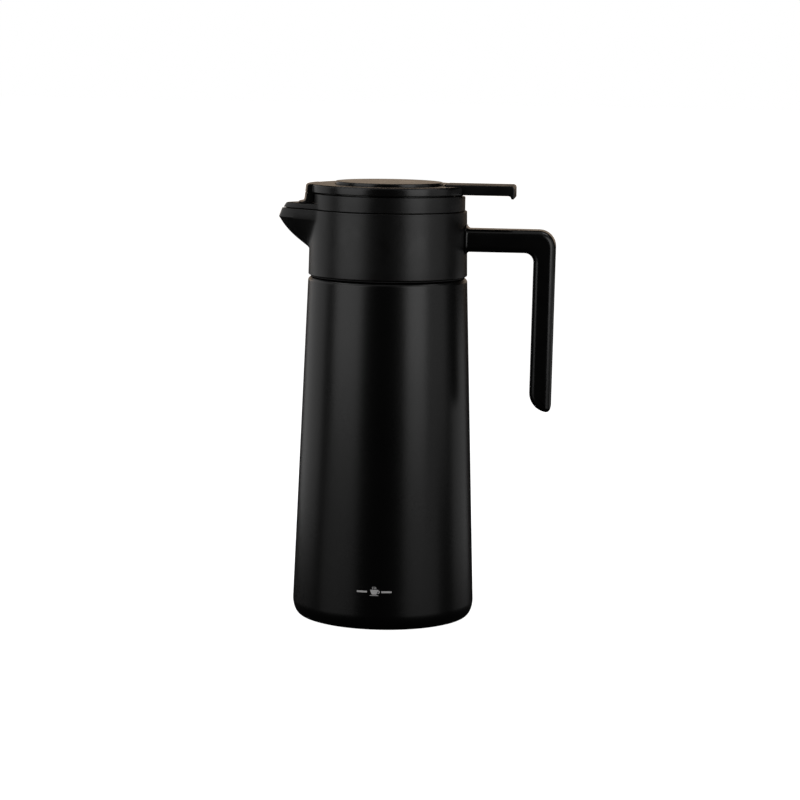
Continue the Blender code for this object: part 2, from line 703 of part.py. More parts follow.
def liner_box(name, grow):
    """The strip let into the finger side of the grip, or its recess when grown."""
    inner = HANDLE_REACH - GRIP_WIDTH
    middle = (ARM_TOP_Z - ARM_HEIGHT + GRIP_END_Z) / 2.0
    lean = math.atan2(HANDLE_LEAN, ARM_TOP_Z - GRIP_END_Z)
    half = (LINER_DEPTH + grow, LINER_WIDTH / 2.0 + grow, LINER_LENGTH / 2.0 + grow)
    outward = 2.0 * LINER_DEPTH if grow else 0.0
    strip = slab(name, (-outward, -half[1], -half[2]), (half[0], half[1], half[2]))
    strip.data.transform(Matrix.Rotation(lean, 4, "Y"))
    drop = (ARM_TOP_Z - middle) / (ARM_TOP_Z - GRIP_END_Z)
    strip.data.transform(Matrix.Translation((inner - HANDLE_LEAN * drop, 0.0, middle)))
    return strip


def build_handle(look):
    """The handle: arm, saddle and grip in one moulding."""
    handle = across("handle", handle_outline(), HANDLE_DEPTH, look)
    soften(handle, HANDLE_EDGE, 3)
    combine(handle, build_root_flare(), "UNION")
    steps = 8
    wall = [(head_radius(HEAD_Z + HEAD_HEIGHT * index / steps) + GAP,
             HEAD_Z + HEAD_HEIGHT * index / steps) for index in range(steps + 1)]
    combine(handle, turned("head_space", wall, None, closed=False, sides=2 * ROUND), "DIFFERENCE")
    combine(handle, liner_box("liner_space", GAP), "DIFFERENCE")
    for side in (-1.0, 1.0):
        hole = HANDLE_SCREW_RADIUS + GAP
        y = side * HANDLE_SCREW_SPACING / 2.0
        z = handle_screw_height()
        end = THREAD_BORE_RADIUS + HANDLE_SCREW_SINK + HANDLE_SCREW_LENGTH + GAP
        combine(handle, rod("handle_hole_%d" % side, hole, (ROOT_START - hole, y, z),
                            (end, y, z)), "DIFFERENCE")
    return handle


def build_grip_liner(look):
    """The soft strip under the fingers."""
    liner = liner_box("grip_liner", 0.0)
    liner.data.materials.append(look)
    return liner


# ---------------------------------------------------------------- lid
def build_lid_body(look):
    """The lid's skirt, floor and spout cover, with two posts for the lever's pin."""
    cover_z = LID_Z + CHIN_HEIGHT
    wall = SKIRT_RADIUS - SKIRT_WALL
    stations = [
        plain(GROMMET_RADIUS + GAP, LID_Z),
        (SKIRT_RADIUS - HEAD_EDGE, LID_Z, CHIN_REACH - HEAD_EDGE / 2.0, CHIN_SPREAD),
        (SKIRT_RADIUS, LID_Z + HEAD_EDGE / 2.0, CHIN_REACH, CHIN_SPREAD),
        (SKIRT_RADIUS, cover_z - CHIN_SLOPE, CHIN_REACH - HEAD_EDGE, CHIN_SPREAD),
        (SKIRT_RADIUS, cover_z, CHIN_REACH - CHIN_SLOPE, CHIN_SPREAD),
        plain(SKIRT_RADIUS, cover_z + GAP),
        plain(SKIRT_RADIUS, SKIRT_TOP_Z - HEAD_EDGE),
        plain(SKIRT_RADIUS - HEAD_EDGE, SKIRT_TOP_Z),
        plain(wall, SKIRT_TOP_Z),
        plain(wall, LID_FLOOR_Z),
        plain(GROMMET_RADIUS + GAP, LID_FLOOR_Z)]
    body = beaked("lid_body", stations, look)
    for side in (-1.0, 1.0):
        low, high = sorted((side * (EAR_SPAN / 2.0 + RUNNING_GAP),
                            side * (EAR_SPAN / 2.0 + RUNNING_GAP + POST_WIDTH)))
        post = slab("pin_post_%d" % side, (PIVOT_X - EAR_HALF_LENGTH, low, LID_FLOOR_Z - GAP),
                    (PIVOT_X + EAR_HALF_LENGTH, high, LID_FLOOR_Z + POST_HEIGHT))
        combine(body, post, "UNION")
    reach = PIN_LENGTH / 2.0 + GAP
    combine(body, rod("pin_space", PIN_RADIUS + GAP, (PIVOT_X, -reach, PIVOT_Z),
                      (PIVOT_X, reach, PIVOT_Z)), "DIFFERENCE")
    half = LEVER_WIDTH / 2.0 + RUNNING_GAP
    dip = slab("lever_dip", (PIVOT_X + EAR_HALF_LENGTH + GAP, -half, SKIRT_TOP_Z - FREE_GAP),
               (SKIRT_RADIUS + FREE_GAP, half, SKIRT_TOP_Z + FREE_GAP))
    combine(body, dip, "DIFFERENCE")
    for index, point in enumerate(lid_screw_points()):
        hole = rod("lid_hole_%d" % index, LID_SCREW_RADIUS + GAP,
                   (*point, LID_Z - FREE_GAP), (*point, LID_FLOOR_Z + FREE_GAP))
        combine(body, hole, "DIFFERENCE")
    return body


def lid_screw_points():
    """Where the lid screws stand, clear of the lever and of the window."""
    points = []
    for angle in LID_SCREW_ANGLES:
        turn = math.radians(angle)
        points.append((BOSS_CIRCLE * math.cos(turn), BOSS_CIRCLE * math.sin(turn)))
    return points


def build_upright():
    """The cap's front, which comes down over the spout's cover."""
    low = LID_Z + CHIN_HEIGHT + 2.0 * GAP
    edge = corner_arc((CAP_REACH - CAP_EDGE, CAP_TOP_Z - CAP_EDGE), (CAP_EDGE, CAP_EDGE),
                      0.0, 90.0, 2)
    inner = SKIRT_RADIUS + GAP
    overlap = inner - 2.0 * CAP_SPIGOT
    spread = COLUMN_REACH + COLUMN_FILLET
    foot = corner_arc((spread, low + COLUMN_FILLET), (COLUMN_FILLET, COLUMN_FILLET - HEAD_EDGE),
                      270.0, 180.0, 4)
    profile = [(inner, low), (spread, low), *foot, *edge, (overlap, CAP_TOP_Z),
               (overlap, CAP_Z + HEAD_EDGE), (inner, CAP_Z + HEAD_EDGE)]
    upright = turned("upright", profile, None, sides=2 * ROUND)
    width = slab("upright_width", (-spread - GAP, -COLUMN_WIDTH / 2.0, low - GAP),
                 (0.0, COLUMN_WIDTH / 2.0, CAP_TOP_Z + GAP))
    combine(upright, width, "INTERSECT")
    reach = CHIN_REACH - CHIN_SLOPE
    outline = beaked("upright_outline", [
        plain(GROMMET_RADIUS, low - GAP), (SKIRT_RADIUS, low - GAP, reach, CHIN_SPREAD),
        (SKIRT_RADIUS, CAP_TOP_Z + GAP, reach, CHIN_SPREAD),
        plain(GROMMET_RADIUS, CAP_TOP_Z + GAP)], None)
    combine(upright, outline, "INTERSECT")
    return upright


def build_lid_cap(look):
    """The disc on top: a spigot inside the skirt, an upright, and a notch for the lever."""
    web_z = PLATE_Z - CAP_WEB
    spigot = SKIRT_RADIUS - SKIRT_WALL - GAP
    edge = corner_arc((CAP_RADIUS - CAP_EDGE, CAP_TOP_Z - CAP_EDGE), (CAP_EDGE, CAP_EDGE),
                      0.0, 90.0, 2)
    profile = [
        (PLATE_RADIUS, web_z), (spigot - CAP_SPIGOT, web_z),
        (spigot - CAP_SPIGOT, CAP_Z - CAP_SPIGOT_DEPTH), (spigot, CAP_Z - CAP_SPIGOT_DEPTH),
        (spigot, CAP_Z), (CAP_RADIUS - HEAD_EDGE, CAP_Z), (CAP_RADIUS, CAP_Z + HEAD_EDGE),
        *edge, (PLATE_RADIUS + GAP, CAP_TOP_Z), (PLATE_RADIUS + GAP, PLATE_Z - GAP)]
    cap = turned("lid_cap", profile, look, closed=False, sides=2 * ROUND)
    combine(cap, build_upright(), "UNION")
    half = LEVER_WIDTH / 2.0 + RUNNING_GAP
    notch = slab("lever_notch", (LEVER_START - SLOT, -half, LID_FLOOR_Z),
                 (CAP_RADIUS + FREE_GAP, half, CAP_TOP_Z + FREE_GAP))
    combine(cap, notch, "DIFFERENCE")
    return cap


def build_lid_plate(look):
    """The domed plate let into the cap."""
    rim = PLATE_Z + PLATE_RIM
    profile = [(PLATE_RADIUS, PLATE_Z), (PLATE_RADIUS, rim - PLATE_DOME)]
    steps = 3
    for index in range(steps):
        radius = (PLATE_RADIUS - PLATE_DOME) * (1.0 - index / steps)
        fall = PLATE_DOME * (radius / PLATE_RADIUS) ** 2
        profile.append((radius, rim + PLATE_DOME - fall))
    return turned("lid_plate", profile, look, closed=False)


def build_plug(look):
    """The screw-in plug: seal groove, threaded band, window and valve seat."""
    groove = PLUG_RADIUS - SEAL_GROOVE_DEPTH
    crest = THREAD_BORE_RADIUS - RUNNING_GAP
    thread_z = LEDGE_Z + GAP
    flange = PLUG_TOP_Z - PLUG_FLANGE_HEIGHT
    profile = [
        (PLUG_PORT_RADIUS, PLUG_BOTTOM_Z), (PLUG_RADIUS, PLUG_BOTTOM_Z),
        (PLUG_RADIUS, SEAL_Z - GAP), (groove, SEAL_Z - GAP),
        (groove, SEAL_Z + SEAL_HEIGHT + GAP), (PLUG_RADIUS, SEAL_Z + SEAL_HEIGHT + GAP),
        (PLUG_RADIUS, thread_z), (crest, thread_z + GAP),
        (crest, thread_z + THREAD_CREST_HEIGHT - GAP),
        (PLUG_RADIUS, thread_z + THREAD_CREST_HEIGHT),
        (PLUG_RADIUS, flange), (PLUG_RADIUS + PLUG_FLANGE, flange),
        (PLUG_RADIUS + PLUG_FLANGE, PLUG_TOP_Z), (PLUG_BORE_RADIUS, PLUG_TOP_Z),
        (PLUG_BORE_RADIUS, PLUG_BOTTOM_Z + PLUG_FLOOR),
        (PLUG_PORT_RADIUS, PLUG_BOTTOM_Z + PLUG_FLOOR)]
    plug = turned("plug", profile, look)
    window_z = flange - WINDOW_HEIGHT
    window = slab("window", (-PLUG_RADIUS - PLUG_WALL, -WINDOW_WIDTH / 2.0, window_z),
                  (-BOSS_CIRCLE + BOSS_RADIUS, WINDOW_WIDTH / 2.0, flange - GAP))
    combine(plug, window, "DIFFERENCE")
    for index, point in enumerate(lid_screw_points()):
        boss = rod("boss_%d" % index, BOSS_RADIUS, (*point, PLUG_TOP_Z - BOSS_HEIGHT),
                   (*point, PLUG_TOP_Z))
        combine(plug, boss, "UNION")
        hole = rod("boss_hole_%d" % index, LID_SCREW_RADIUS + GAP,
                   (*point, LID_FLOOR_Z - LID_SCREW_LENGTH - GAP), (*point, LID_FLOOR_Z))
        combine(plug, hole, "DIFFERENCE")
    return plug


def build_lid_screw(index, point, look):
    """One screw that holds the plug under the lid's floor."""
    seat = LID_FLOOR_Z + GAP
    screw = turned("lid_screw_%d" % index, [
        (LID_SCREW_RADIUS, -LID_SCREW_LENGTH), (LID_SCREW_RADIUS, 0.0),
        (LID_SCREW_HEAD_RADIUS, 0.0), (LID_SCREW_HEAD_RADIUS, LID_SCREW_HEAD)],
        look, closed=False, sides=SMALL_ROUND)
    screw.location = (*point, seat)
    return screw


def build_stopper_seal(look):
    """The silicone ring that closes the flask's mouth."""
    inner = PLUG_RADIUS - SEAL_GROOVE_DEPTH + GAP
    outer = MOUTH_RADIUS - GAP
    lip = (outer - PLUG_RADIUS) / 2.0
    profile = [(inner, SEAL_Z), (PLUG_RADIUS, SEAL_Z),
               (outer, SEAL_Z + lip), (outer, SEAL_Z + SEAL_HEIGHT - lip),
               (PLUG_RADIUS, SEAL_Z + SEAL_HEIGHT), (inner, SEAL_Z + SEAL_HEIGHT)]
    return turned("stopper_seal", profile, look)


def build_rim_seal(look):
    """The ring under the lid's floor that stops splashes beside the spout."""
    outer = HEAD_BORE_RADIUS - RUNNING_GAP
    return tube("rim_seal", outer - RIM_SEAL_WIDTH, outer, PLUG_TOP_Z - RIM_SEAL_HEIGHT,
                PLUG_TOP_Z, look)


def build_stem_grommet(look):
    """The soft sleeve that the valve's stem slides through."""
    return tube("stem_grommet", STEM_RADIUS + GAP, GROMMET_RADIUS, LID_Z, LID_FLOOR_Z, look,
                sides=SMALL_ROUND)


# ---------------------------------------------------------------- valve
def build_valve(look):
    """The valve disc and the stem that carries it."""
    top = VALVE_Z + VALVE_THICKNESS
    profile = [(VALVE_RADIUS, VALVE_Z), (VALVE_RADIUS, top - GAP), (VALVE_RADIUS - GAP, top),
               (STEM_RADIUS, top), (STEM_RADIUS, NUT_Z + NUT_HEIGHT)]
    return turned("valve", profile, look, closed=False, sides=2 * SMALL_ROUND)


def build_valve_seal(look):
    """The soft ring under the valve disc."""
    return tube("valve_seal", VALVE_RADIUS - VALVE_SEAL_WIDTH, VALVE_RADIUS,
                VALVE_Z - GAP - VALVE_SEAL_HEIGHT, VALVE_Z - GAP, look, sides=2 * SMALL_ROUND)


def build_stem_nut(look):
    """The nut at the stem's top that the lever's fork lifts."""
    return tube("stem_nut", STEM_RADIUS + GAP, NUT_RADIUS, NUT_Z, NUT_Z + NUT_HEIGHT, look,
                sides=SMALL_ROUND)


def build_return_spring(look):
    """The coil spring that pushes the valve down on to its seat."""
    low = VALVE_Z + VALVE_THICKNESS + GAP + SPRING_WIRE
    high = LID_Z - GAP - SPRING_WIRE
    points = SPRING_TURNS * SPRING_TURN_POINTS
    curve = bpy.data.curves.new("return_spring", "CURVE")
    curve.dimensions = "3D"
    curve.bevel_depth = SPRING_WIRE
    curve.bevel_resolution = 0
    curve.use_fill_caps = True
    spline = curve.splines.new("POLY")
    spline.points.add(points)
    for index in range(points + 1):
        turn = 2.0 * math.pi * SPRING_TURNS * index / points
        z = low + (high - low) * index / points
        spline.points[index].co = (SPRING_RADIUS * math.cos(turn),
                                   SPRING_RADIUS * math.sin(turn), z, 1.0)
    spring = bpy.data.objects.new("return_spring", curve)
    curve.materials.append(look)
    bpy.context.scene.collection.objects.link(spring)
    return spring


# ---------------------------------------------------------------- lever
def lever_outline():
    """The thumb tab seen from the side, with the lip turned down at its end."""
    lip_inner = LEVER_REACH - LEVER_LIP
    return rounded_outline([
        (LEVER_START, LEVER_TOP_Z, 0.0), (LEVER_START, LEVER_Z, 0.0),
        (lip_inner, LEVER_Z, LEVER_FILLET),
        (lip_inner, LEVER_Z - LEVER_LIP_DROP, LEVER_LIP_EDGE),
        (LEVER_REACH, LEVER_Z - LEVER_LIP_DROP, LEVER_LIP_EDGE),
        (LEVER_REACH, LEVER_TOP_Z, LEVER_CORNER)])


def build_lever(look):
    """The thumb lever: tab, two ears on the pin, and the fork under the nut."""
    lever = across("lever", lever_outline(), LEVER_WIDTH, look)
    soften(lever, LEVER_EDGE, 3)
    back = PIVOT_X - EAR_HALF_LENGTH
    front = PIVOT_X + EAR_HALF_LENGTH
    for side in (-1.0, 1.0):
        low, high = sorted((side * (EAR_SPAN / 2.0 - EAR_WIDTH), side * EAR_SPAN / 2.0))
        ear = slab("ear_%d" % side, (back, low, ARM_Z), (front, high, LEVER_Z + GAP))
        combine(lever, ear, "UNION")
    yoke = slab("yoke", (back, -EAR_SPAN / 2.0 + GAP, ARM_Z + GAP / 2.0),
                (front - GAP, EAR_SPAN / 2.0 - GAP, ARM_TOP - GAP / 2.0))
    combine(lever, yoke, "UNION")
    arm = slab("arm", (-FORK_END, -ARM_HALF_WIDTH, ARM_Z),
               (front - 2.0 * GAP, ARM_HALF_WIDTH, ARM_TOP))
    combine(lever, arm, "UNION")
    half = STEM_RADIUS + 2.0 * GAP
    fork = slab("fork_gap", (-2.0 * FORK_END, -half, ARM_Z - GAP),
                (half + GAP, half, ARM_TOP + GAP))
    combine(lever, fork, "DIFFERENCE")
    pin_hole = rod("pin_hole", PIN_RADIUS + GAP, (PIVOT_X, -LEVER_WIDTH, PIVOT_Z),
                   (PIVOT_X, LEVER_WIDTH, PIVOT_Z))
    combine(lever, pin_hole, "DIFFERENCE")
    return lever


def build_lever_pin(look):
    """The steel pin that the lever turns on."""
    half = PIN_LENGTH / 2.0
    return rod("lever_pin", PIN_RADIUS, (PIVOT_X, -half, PIVOT_Z), (PIVOT_X, half, PIVOT_Z), look)


# ---------------------------------------------------------------- assembly
def clear_scene():
    """Remove whatever the file opened with."""
    for old in list(bpy.data.objects):
        bpy.data.objects.remove(old, do_unlink=True)


def build_flask(steel, bright, silicone, brass):
    """The vacuum flask, which stays put."""
    build_outer_shell(steel)
    build_inner_vessel(bright)
    build_shell_base(bright)
    build_vacuum_seal(brass)
    build_foil(bright)
    build_getter(brass)
    build_base_pad(silicone)


def build_pouring_head(plastic, silicone, bright):
    """The head, handle and their fasteners, fixed to the flask."""
    build_collar_ring(silicone)
    build_neck_gasket(silicone)
    build_head(plastic)
    build_handle(plastic)
    build_grip_liner(silicone)
    for index, side in enumerate((-1.0, 1.0), start=1):
        build_handle_screw(index, side, bright)


def build_lid(plastic, gloss, silicone, bright):
    """The lid assembly, which turns and lifts off on the flask's axis."""
    lid_axis = axis_empty("lid_axis", (0.0, 0.0, LID_Z))
    carried = [build_lid_body(plastic), build_lid_cap(plastic), build_lid_plate(gloss),
               build_plug(plastic), build_rim_seal(silicone), build_stem_grommet(silicone),
               build_lever_pin(bright), build_stopper_seal(silicone)]
    for piece in carried:
        place(piece, lid_axis.location, lid_axis)
    spring = build_return_spring(bright)
    spring.parent = lid_axis
    spring.location = -lid_axis.location
    for index, point in enumerate(lid_screw_points(), start=1):
        screw = build_lid_screw(index, point, bright)
        screw.location = screw.location - lid_axis.location
        screw.parent = lid_axis


def build_mechanism(plastic, silicone, bright):
    """The lever on its pin, and the valve that it lifts."""
    lever_axis = axis_empty("lever_axis", (PIVOT_X, 0.0, PIVOT_Z))
    place(build_lever(plastic), lever_axis.location, lever_axis)
    valve_axis = axis_empty("valve_axis", (0.0, 0.0, VALVE_Z))
    for piece in (build_valve(plastic), build_valve_seal(silicone), build_stem_nut(bright)):
        place(piece, valve_axis.location, valve_axis)


def main():
    """Build the whole server."""
    clear_scene()
    steel = material("black_coated_steel", (0.012, 0.012, 0.013), 0.38, 0.2)
    plastic = material("black_plastic", (0.016, 0.016, 0.017), 0.5)
    gloss = material("gloss_black_plastic", (0.012, 0.012, 0.013), 0.25)
    bright = material("stainless_steel", (0.62, 0.61, 0.6), 0.28, 1.0)
    silicone = material("dark_silicone", (0.03, 0.03, 0.032), 0.7)
    brass = material("brazing_brass", (0.62, 0.48, 0.22), 0.35, 1.0)
    build_flask(steel, bright, silicone, brass)
    build_pouring_head(plastic, silicone, bright)
    build_lid(plastic, gloss, silicone, bright)
    build_mechanism(plastic, silicone, bright)


main()
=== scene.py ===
"""Looks of a thermal coffee server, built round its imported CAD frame.

Every length is in metres in the frame's own coordinates: the flask's axis is Z, it
stands on z = 0, the spout points to -X and the handle to +X.
"""

from __future__ import annotations

import logging
import math
from dataclasses import dataclass
from enum import Enum
from typing import Callable, Sequence

import bmesh
import bpy
from mathutils import Matrix, Vector


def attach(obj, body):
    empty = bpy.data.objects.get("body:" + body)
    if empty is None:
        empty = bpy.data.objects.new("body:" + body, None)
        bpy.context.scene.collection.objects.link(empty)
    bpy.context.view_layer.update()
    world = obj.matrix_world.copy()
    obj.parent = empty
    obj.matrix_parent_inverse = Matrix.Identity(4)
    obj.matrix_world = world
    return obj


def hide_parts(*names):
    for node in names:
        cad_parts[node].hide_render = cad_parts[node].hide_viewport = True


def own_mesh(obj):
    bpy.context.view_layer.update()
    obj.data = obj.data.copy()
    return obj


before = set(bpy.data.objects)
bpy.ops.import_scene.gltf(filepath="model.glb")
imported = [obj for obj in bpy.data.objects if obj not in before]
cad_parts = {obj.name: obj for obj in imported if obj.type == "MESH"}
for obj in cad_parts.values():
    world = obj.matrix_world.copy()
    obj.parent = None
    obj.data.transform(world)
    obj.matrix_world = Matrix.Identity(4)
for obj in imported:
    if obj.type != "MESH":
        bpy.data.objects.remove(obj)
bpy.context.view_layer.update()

LOG = logging.getLogger("server")
MM = 0.001
GAP = 0.3 * MM
FINE_GAP = 0.06 * MM
LEAST_ROUND = 0.05 * MM        # of a corner that an inset has used up
CREASE = 34.0                  # degrees; sharper edges stay sharp
SOFT_CREASE = 44.0             # the same, on a piece with rounded edges

Point = tuple[float, ...]


# ------------------------------------------------------------------ shader maths
@dataclass(frozen=True)
class Value:
    """A shader output that takes part in Python arithmetic."""

    graph: "Graph"
    socket: bpy.types.NodeSocket

    def __add__(self, other: "Value | float") -> "Value":
        """Sum of this value and another."""
        return self.graph.math("ADD", self, other)

    def __sub__(self, other: "Value | float") -> "Value":
        """This value less another."""
        return self.graph.math("SUBTRACT", self, other)

    def __rsub__(self, other: float) -> "Value":
        """A number less this value."""
        return self.graph.math("SUBTRACT", other, self)

    def __mul__(self, other: "Value | float") -> "Value":
        """Product of this value and another."""
        return self.graph.math("MULTIPLY", self, other)

    __radd__ = __add__
    __rmul__ = __mul__


class Graph:
    """One material and the nodes that are added to it."""

    def __init__(self, name: str) -> None:
        """Start a material with a Principled shader.

        Args:
            name: The material's name.
        """
        self.material = bpy.data.materials.new(name)
        self.material.use_nodes = True
        self.tree = self.material.node_tree
        self.shader = self.tree.nodes["Principled BSDF"]

    @staticmethod
    def _find(sockets: bpy.types.bpy_prop_collection, name: str) -> bpy.types.NodeSocket:
        """The socket with an identifier or a name, identifiers first."""
        for socket in sockets:
            if socket.identifier == name:
                return socket
        return sockets[name]

    def feed(self, node: bpy.types.Node, inputs: dict[str, object]) -> None:
        """Set or link a node's inputs.

        Args:
            node: The node to feed.
            inputs: Socket name to a Value, which is linked, or to a constant.
        """
        for name, given in inputs.items():
            socket = self._find(node.inputs, name)
            if isinstance(given, Value):
                self.tree.links.new(given.socket, socket)
            else:
                socket.default_value = given

    def add(self, kind: str, settings: dict[str, object] | None = None,
            inputs: dict[str, object] | None = None, output: str = "") -> Value:
        """Add any node.

        Args:
            kind: The node's type.
            settings: Its own settings, or a ramp's "stops".
            inputs: The values or links of its sockets.
            output: The output wanted, or the first one.

        Returns:
            The wanted output.
        """
        node = self.tree.nodes.new(kind)
        for key, setting in (settings or {}).items():
            if key == "stops":
                self._set_stops(node.color_ramp, setting)
            else:
                setattr(node, key, setting)
        self.feed(node, inputs or {})
        return Value(self, self._find(node.outputs, output) if output else node.outputs[0])

    @staticmethod
    def _set_stops(ramp: bpy.types.ColorRamp, stops: Sequence[tuple[float, float]]) -> None:
        """Give a ramp its grey stops."""
        while len(ramp.elements) < len(stops):
            ramp.elements.new(1.0)
        for element, (place, grey) in zip(ramp.elements, stops):
            element.position = place
            element.color = (grey, grey, grey, 1.0)

    def math(self, operation: str, first: object, second: object) -> Value:
        """A Math node on two values."""
        return self.add("ShaderNodeMath", {"operation": operation},
                        {"Value": first, "Value_001": second})

    def place(self) -> Value:
        """A point's own place in metres."""
        return self.add("ShaderNodeTexCoord", output="Object")

    def stretched(self, scale: Point) -> Value:
        """Places multiplied by a scale on each axis."""
        return self.add("ShaderNodeVectorMath", {"operation": "MULTIPLY"},
                        {"Vector": self.place(), "Vector_001": scale})

    def height(self) -> Value:
        """A point's height above the table."""
        return self.add("ShaderNodeSeparateXYZ", inputs={"Vector": self.place()}, output="Z")

    def noise(self, scale: float, detail: float = 2.0, roughness: float = 0.5,
              vector: Value | None = None) -> Value:
        """Smooth noise from 0 to 1 at so many cells a metre."""
        return self.add("ShaderNodeTexNoise", inputs={
            "Vector": vector or self.place(), "Scale": scale, "Detail": detail,
            "Roughness": roughness})

    def between(self, value: Value, low: float, high: float) -> Value:
        """A smooth step from 0 at low to 1 at high."""
        return self.add("ShaderNodeMapRange", {"interpolation_type": "SMOOTHSTEP"},
                        {"Value": value, "From Min": low, "From Max": high})

    def mix(self, share: Value, first: object, second: object) -> Value:
        """Two colours mixed by a share."""
        return self.add("ShaderNodeMix", {"data_type": "RGBA"},
                        {"Factor_Float": share, "A_Color": first, "B_Color": second},
                        "Result_Color")

    def bump(self, height: Value, distance: float, strength: float = 1.0,
             under: Value | None = None) -> Value:
        """A bump from a height, over another bump if one is given."""
        inputs: dict[str, object] = {"Height": height, "Distance": distance,
                                     "Strength": strength}
        if under:
            inputs["Normal"] = under
        return self.add("ShaderNodeBump", inputs=inputs)

    def shade(self, inputs: dict[str, object]) -> bpy.types.Material:
        """Feed the shader, and return the material."""
        self.feed(self.shader, inputs)
        return self.material


def grey(level: float, warmth: float = 0.0) -> Point:
    """A grey with an alpha, a little redder than blue by the warmth."""
    return (level * (1.0 + warmth), level, level * (1.0 - warmth), 1.0)


# ------------------------------------------------------------------ finishes
@dataclass(frozen=True)
class Coating:
    """Satin powder coat on steel: fine orange peel, faint wear at the foot."""

    name: str = "satin_black_coat"
    level: float = 0.0009
    roughness: float = 0.27
    peel_cells: float = 1500.0
    peel_depth: float = 0.012 * MM
    speck_cells: float = 5200.0
    foot_worn: float = 6.0 * MM

    def material(self) -> bpy.types.Material:
        """Return the coat's material."""
        graph = Graph(self.name)
        cloud = graph.noise(24.0, 3.0)
        peel = graph.noise(self.peel_cells, 2.0)
        speck = graph.noise(self.speck_cells, 1.0)
        scuffs = graph.between(graph.noise(420.0, 5.0, 0.7), 0.6, 0.72)
        worn = (1.0 - graph.between(graph.height(), 1.0 * MM, self.foot_worn)) * scuffs
        colour = graph.mix(cloud, grey(self.level, 0.02), grey(self.level * 1.35, 0.04))
        colour = graph.mix(worn * 0.5, colour, grey(0.02, 0.03))
        rough = self.roughness - 0.03 + cloud * 0.05 + speck * 0.03 + worn * 0.15
        relief = graph.bump(peel, self.peel_depth)
        relief = graph.bump(speck, 0.4 * self.peel_depth, under=relief)
        return graph.shade({"Base Color": colour, "Roughness": rough, "Normal": relief})


@dataclass(frozen=True)
class Moulding:
    """Black moulded plastic with a fine spark-eroded grain."""

    name: str = "black_moulding"
    level: float = 0.002
    roughness: float = 0.33
    grain_cells: float = 2600.0
    grain_depth: float = 0.014 * MM
    polish: float = 0.05

    def material(self) -> bpy.types.Material:
        """Return the moulding's material."""
        graph = Graph(self.name)
        grain = graph.noise(self.grain_cells, 3.0, 0.6)
        cells = graph.add("ShaderNodeTexVoronoi", {"feature": "SMOOTH_F1"},
                          {"Vector": graph.place(), "Scale": 0.7 * self.grain_cells})
        cloud = graph.noise(38.0, 3.0)
        handled = graph.between(graph.noise(90.0, 4.0), 0.45, 0.7)
        colour = graph.mix(cloud, grey(self.level, 0.03), grey(self.level * 1.4, 0.05))
        colour = graph.mix(grain * 0.35, colour, grey(self.level * 2.0, 0.04))
        rough = self.roughness + grain * 0.06 - handled * self.polish
        relief = graph.bump(cells, self.grain_depth)
        relief = graph.bump(grain, 0.6 * self.grain_depth, under=relief)
        return graph.shade({"Base Color": colour, "Roughness": rough, "Normal": relief})


@dataclass(frozen=True)
class Silicone:
    """Soft matt rubber with a little dust in its texture."""

    name: str = "matt_silicone"
    level: float = 0.006
    roughness: float = 0.66
    grain_cells: float = 1900.0

    def material(self) -> bpy.types.Material:
        """Return the rubber's material."""
        graph = Graph(self.name)
        grain = graph.noise(self.grain_cells, 3.0)
        dust = graph.between(graph.noise(700.0, 6.0, 0.75), 0.62, 0.78)
        colour = graph.mix(grain, grey(self.level), grey(self.level * 1.5, 0.03))
        colour = graph.mix(dust * 0.5, colour, grey(0.03, 0.06))
        rough = self.roughness + grain * 0.08 + dust * 0.1
        relief = graph.bump(grain, 0.02 * MM)
        return graph.shade({"Base Color": colour, "Roughness": rough, "Normal": relief})


class Lay(Enum):
    """Which way a metal's brushing runs: the axis that it varies quickly along."""

    ROUND = (18.0, 18.0, 2600.0)
    FACED = (900.0, 900.0, 900.0)


@dataclass(frozen=True)
class Metal:
    """Bare metal with a brushed lay and faint stains."""

    name: str
    colour: Point
    roughness: float
    lay: Lay
    brushing: float = 0.12

    def material(self) -> bpy.types.Material:
        """Return the metal's material."""
        graph = Graph(self.name)
        lines = graph.noise(1.0, 4.0, 0.6, graph.stretched(self.lay.value))
        stain = graph.between(graph.noise(55.0, 4.0), 0.4, 0.75)
        red, green, blue = self.colour
        dark = (0.8 * red, 0.78 * green, 0.74 * blue, 1.0)
        colour = graph.mix(stain * 0.5 + lines * 0.15, (red, green, blue, 1.0), dark)
        rough = self.roughness + lines * self.brushing + stain * 0.06
        relief = graph.bump(lines, 0.004 * MM)
        return graph.shade({"Base Color": colour, "Roughness": rough, "Normal": relief,
                            "Metallic": 1.0})


@dataclass(frozen=True)
class Ink:
    """Pale screen ink, thin enough to show the coat's texture."""

    name: str = "pale_ink"

    def material(self) -> bpy.types.Material:
        """Return the ink's material."""
        graph = Graph(self.name)
        thin = graph.noise(1500.0, 3.0)
        colour = graph.mix(thin, grey(0.62, 0.01), grey(0.8, 0.01))
        relief = graph.bump(thin, 0.01 * MM)
        return graph.shade({"Base Color": colour, "Roughness": 0.5 + thin * 0.1,
                            "Normal": relief})


class Finishes:
    """Every finish on the server, made once."""

    def __init__(self) -> None:
        """Make the materials."""
        self.coat = Coating().material()
        self.plastic = Moulding().material()
        self.handle = Moulding("handle_moulding", 0.002, 0.22, 2200.0, 0.005 * MM, 0.05).material()
        self.cap = Moulding("cap_moulding", 0.002, 0.23, 2600.0, 0.006 * MM, 0.04).material()
        self.plate = Moulding("smooth_moulding", 0.003, 0.2, 3000.0, 0.003 * MM, 0.04).material()
        self.silicone = Silicone().material()
        self.steel = Metal("turned_steel", (0.60, 0.59, 0.57), 0.22, Lay.ROUND).material()
        self.wire = Metal("drawn_steel", (0.62, 0.61, 0.59), 0.25, Lay.FACED).material()
        self.brass = Metal("brazed_brass", (0.60, 0.46, 0.22), 0.35, Lay.FACED).material()
        self.ink = Ink().material()


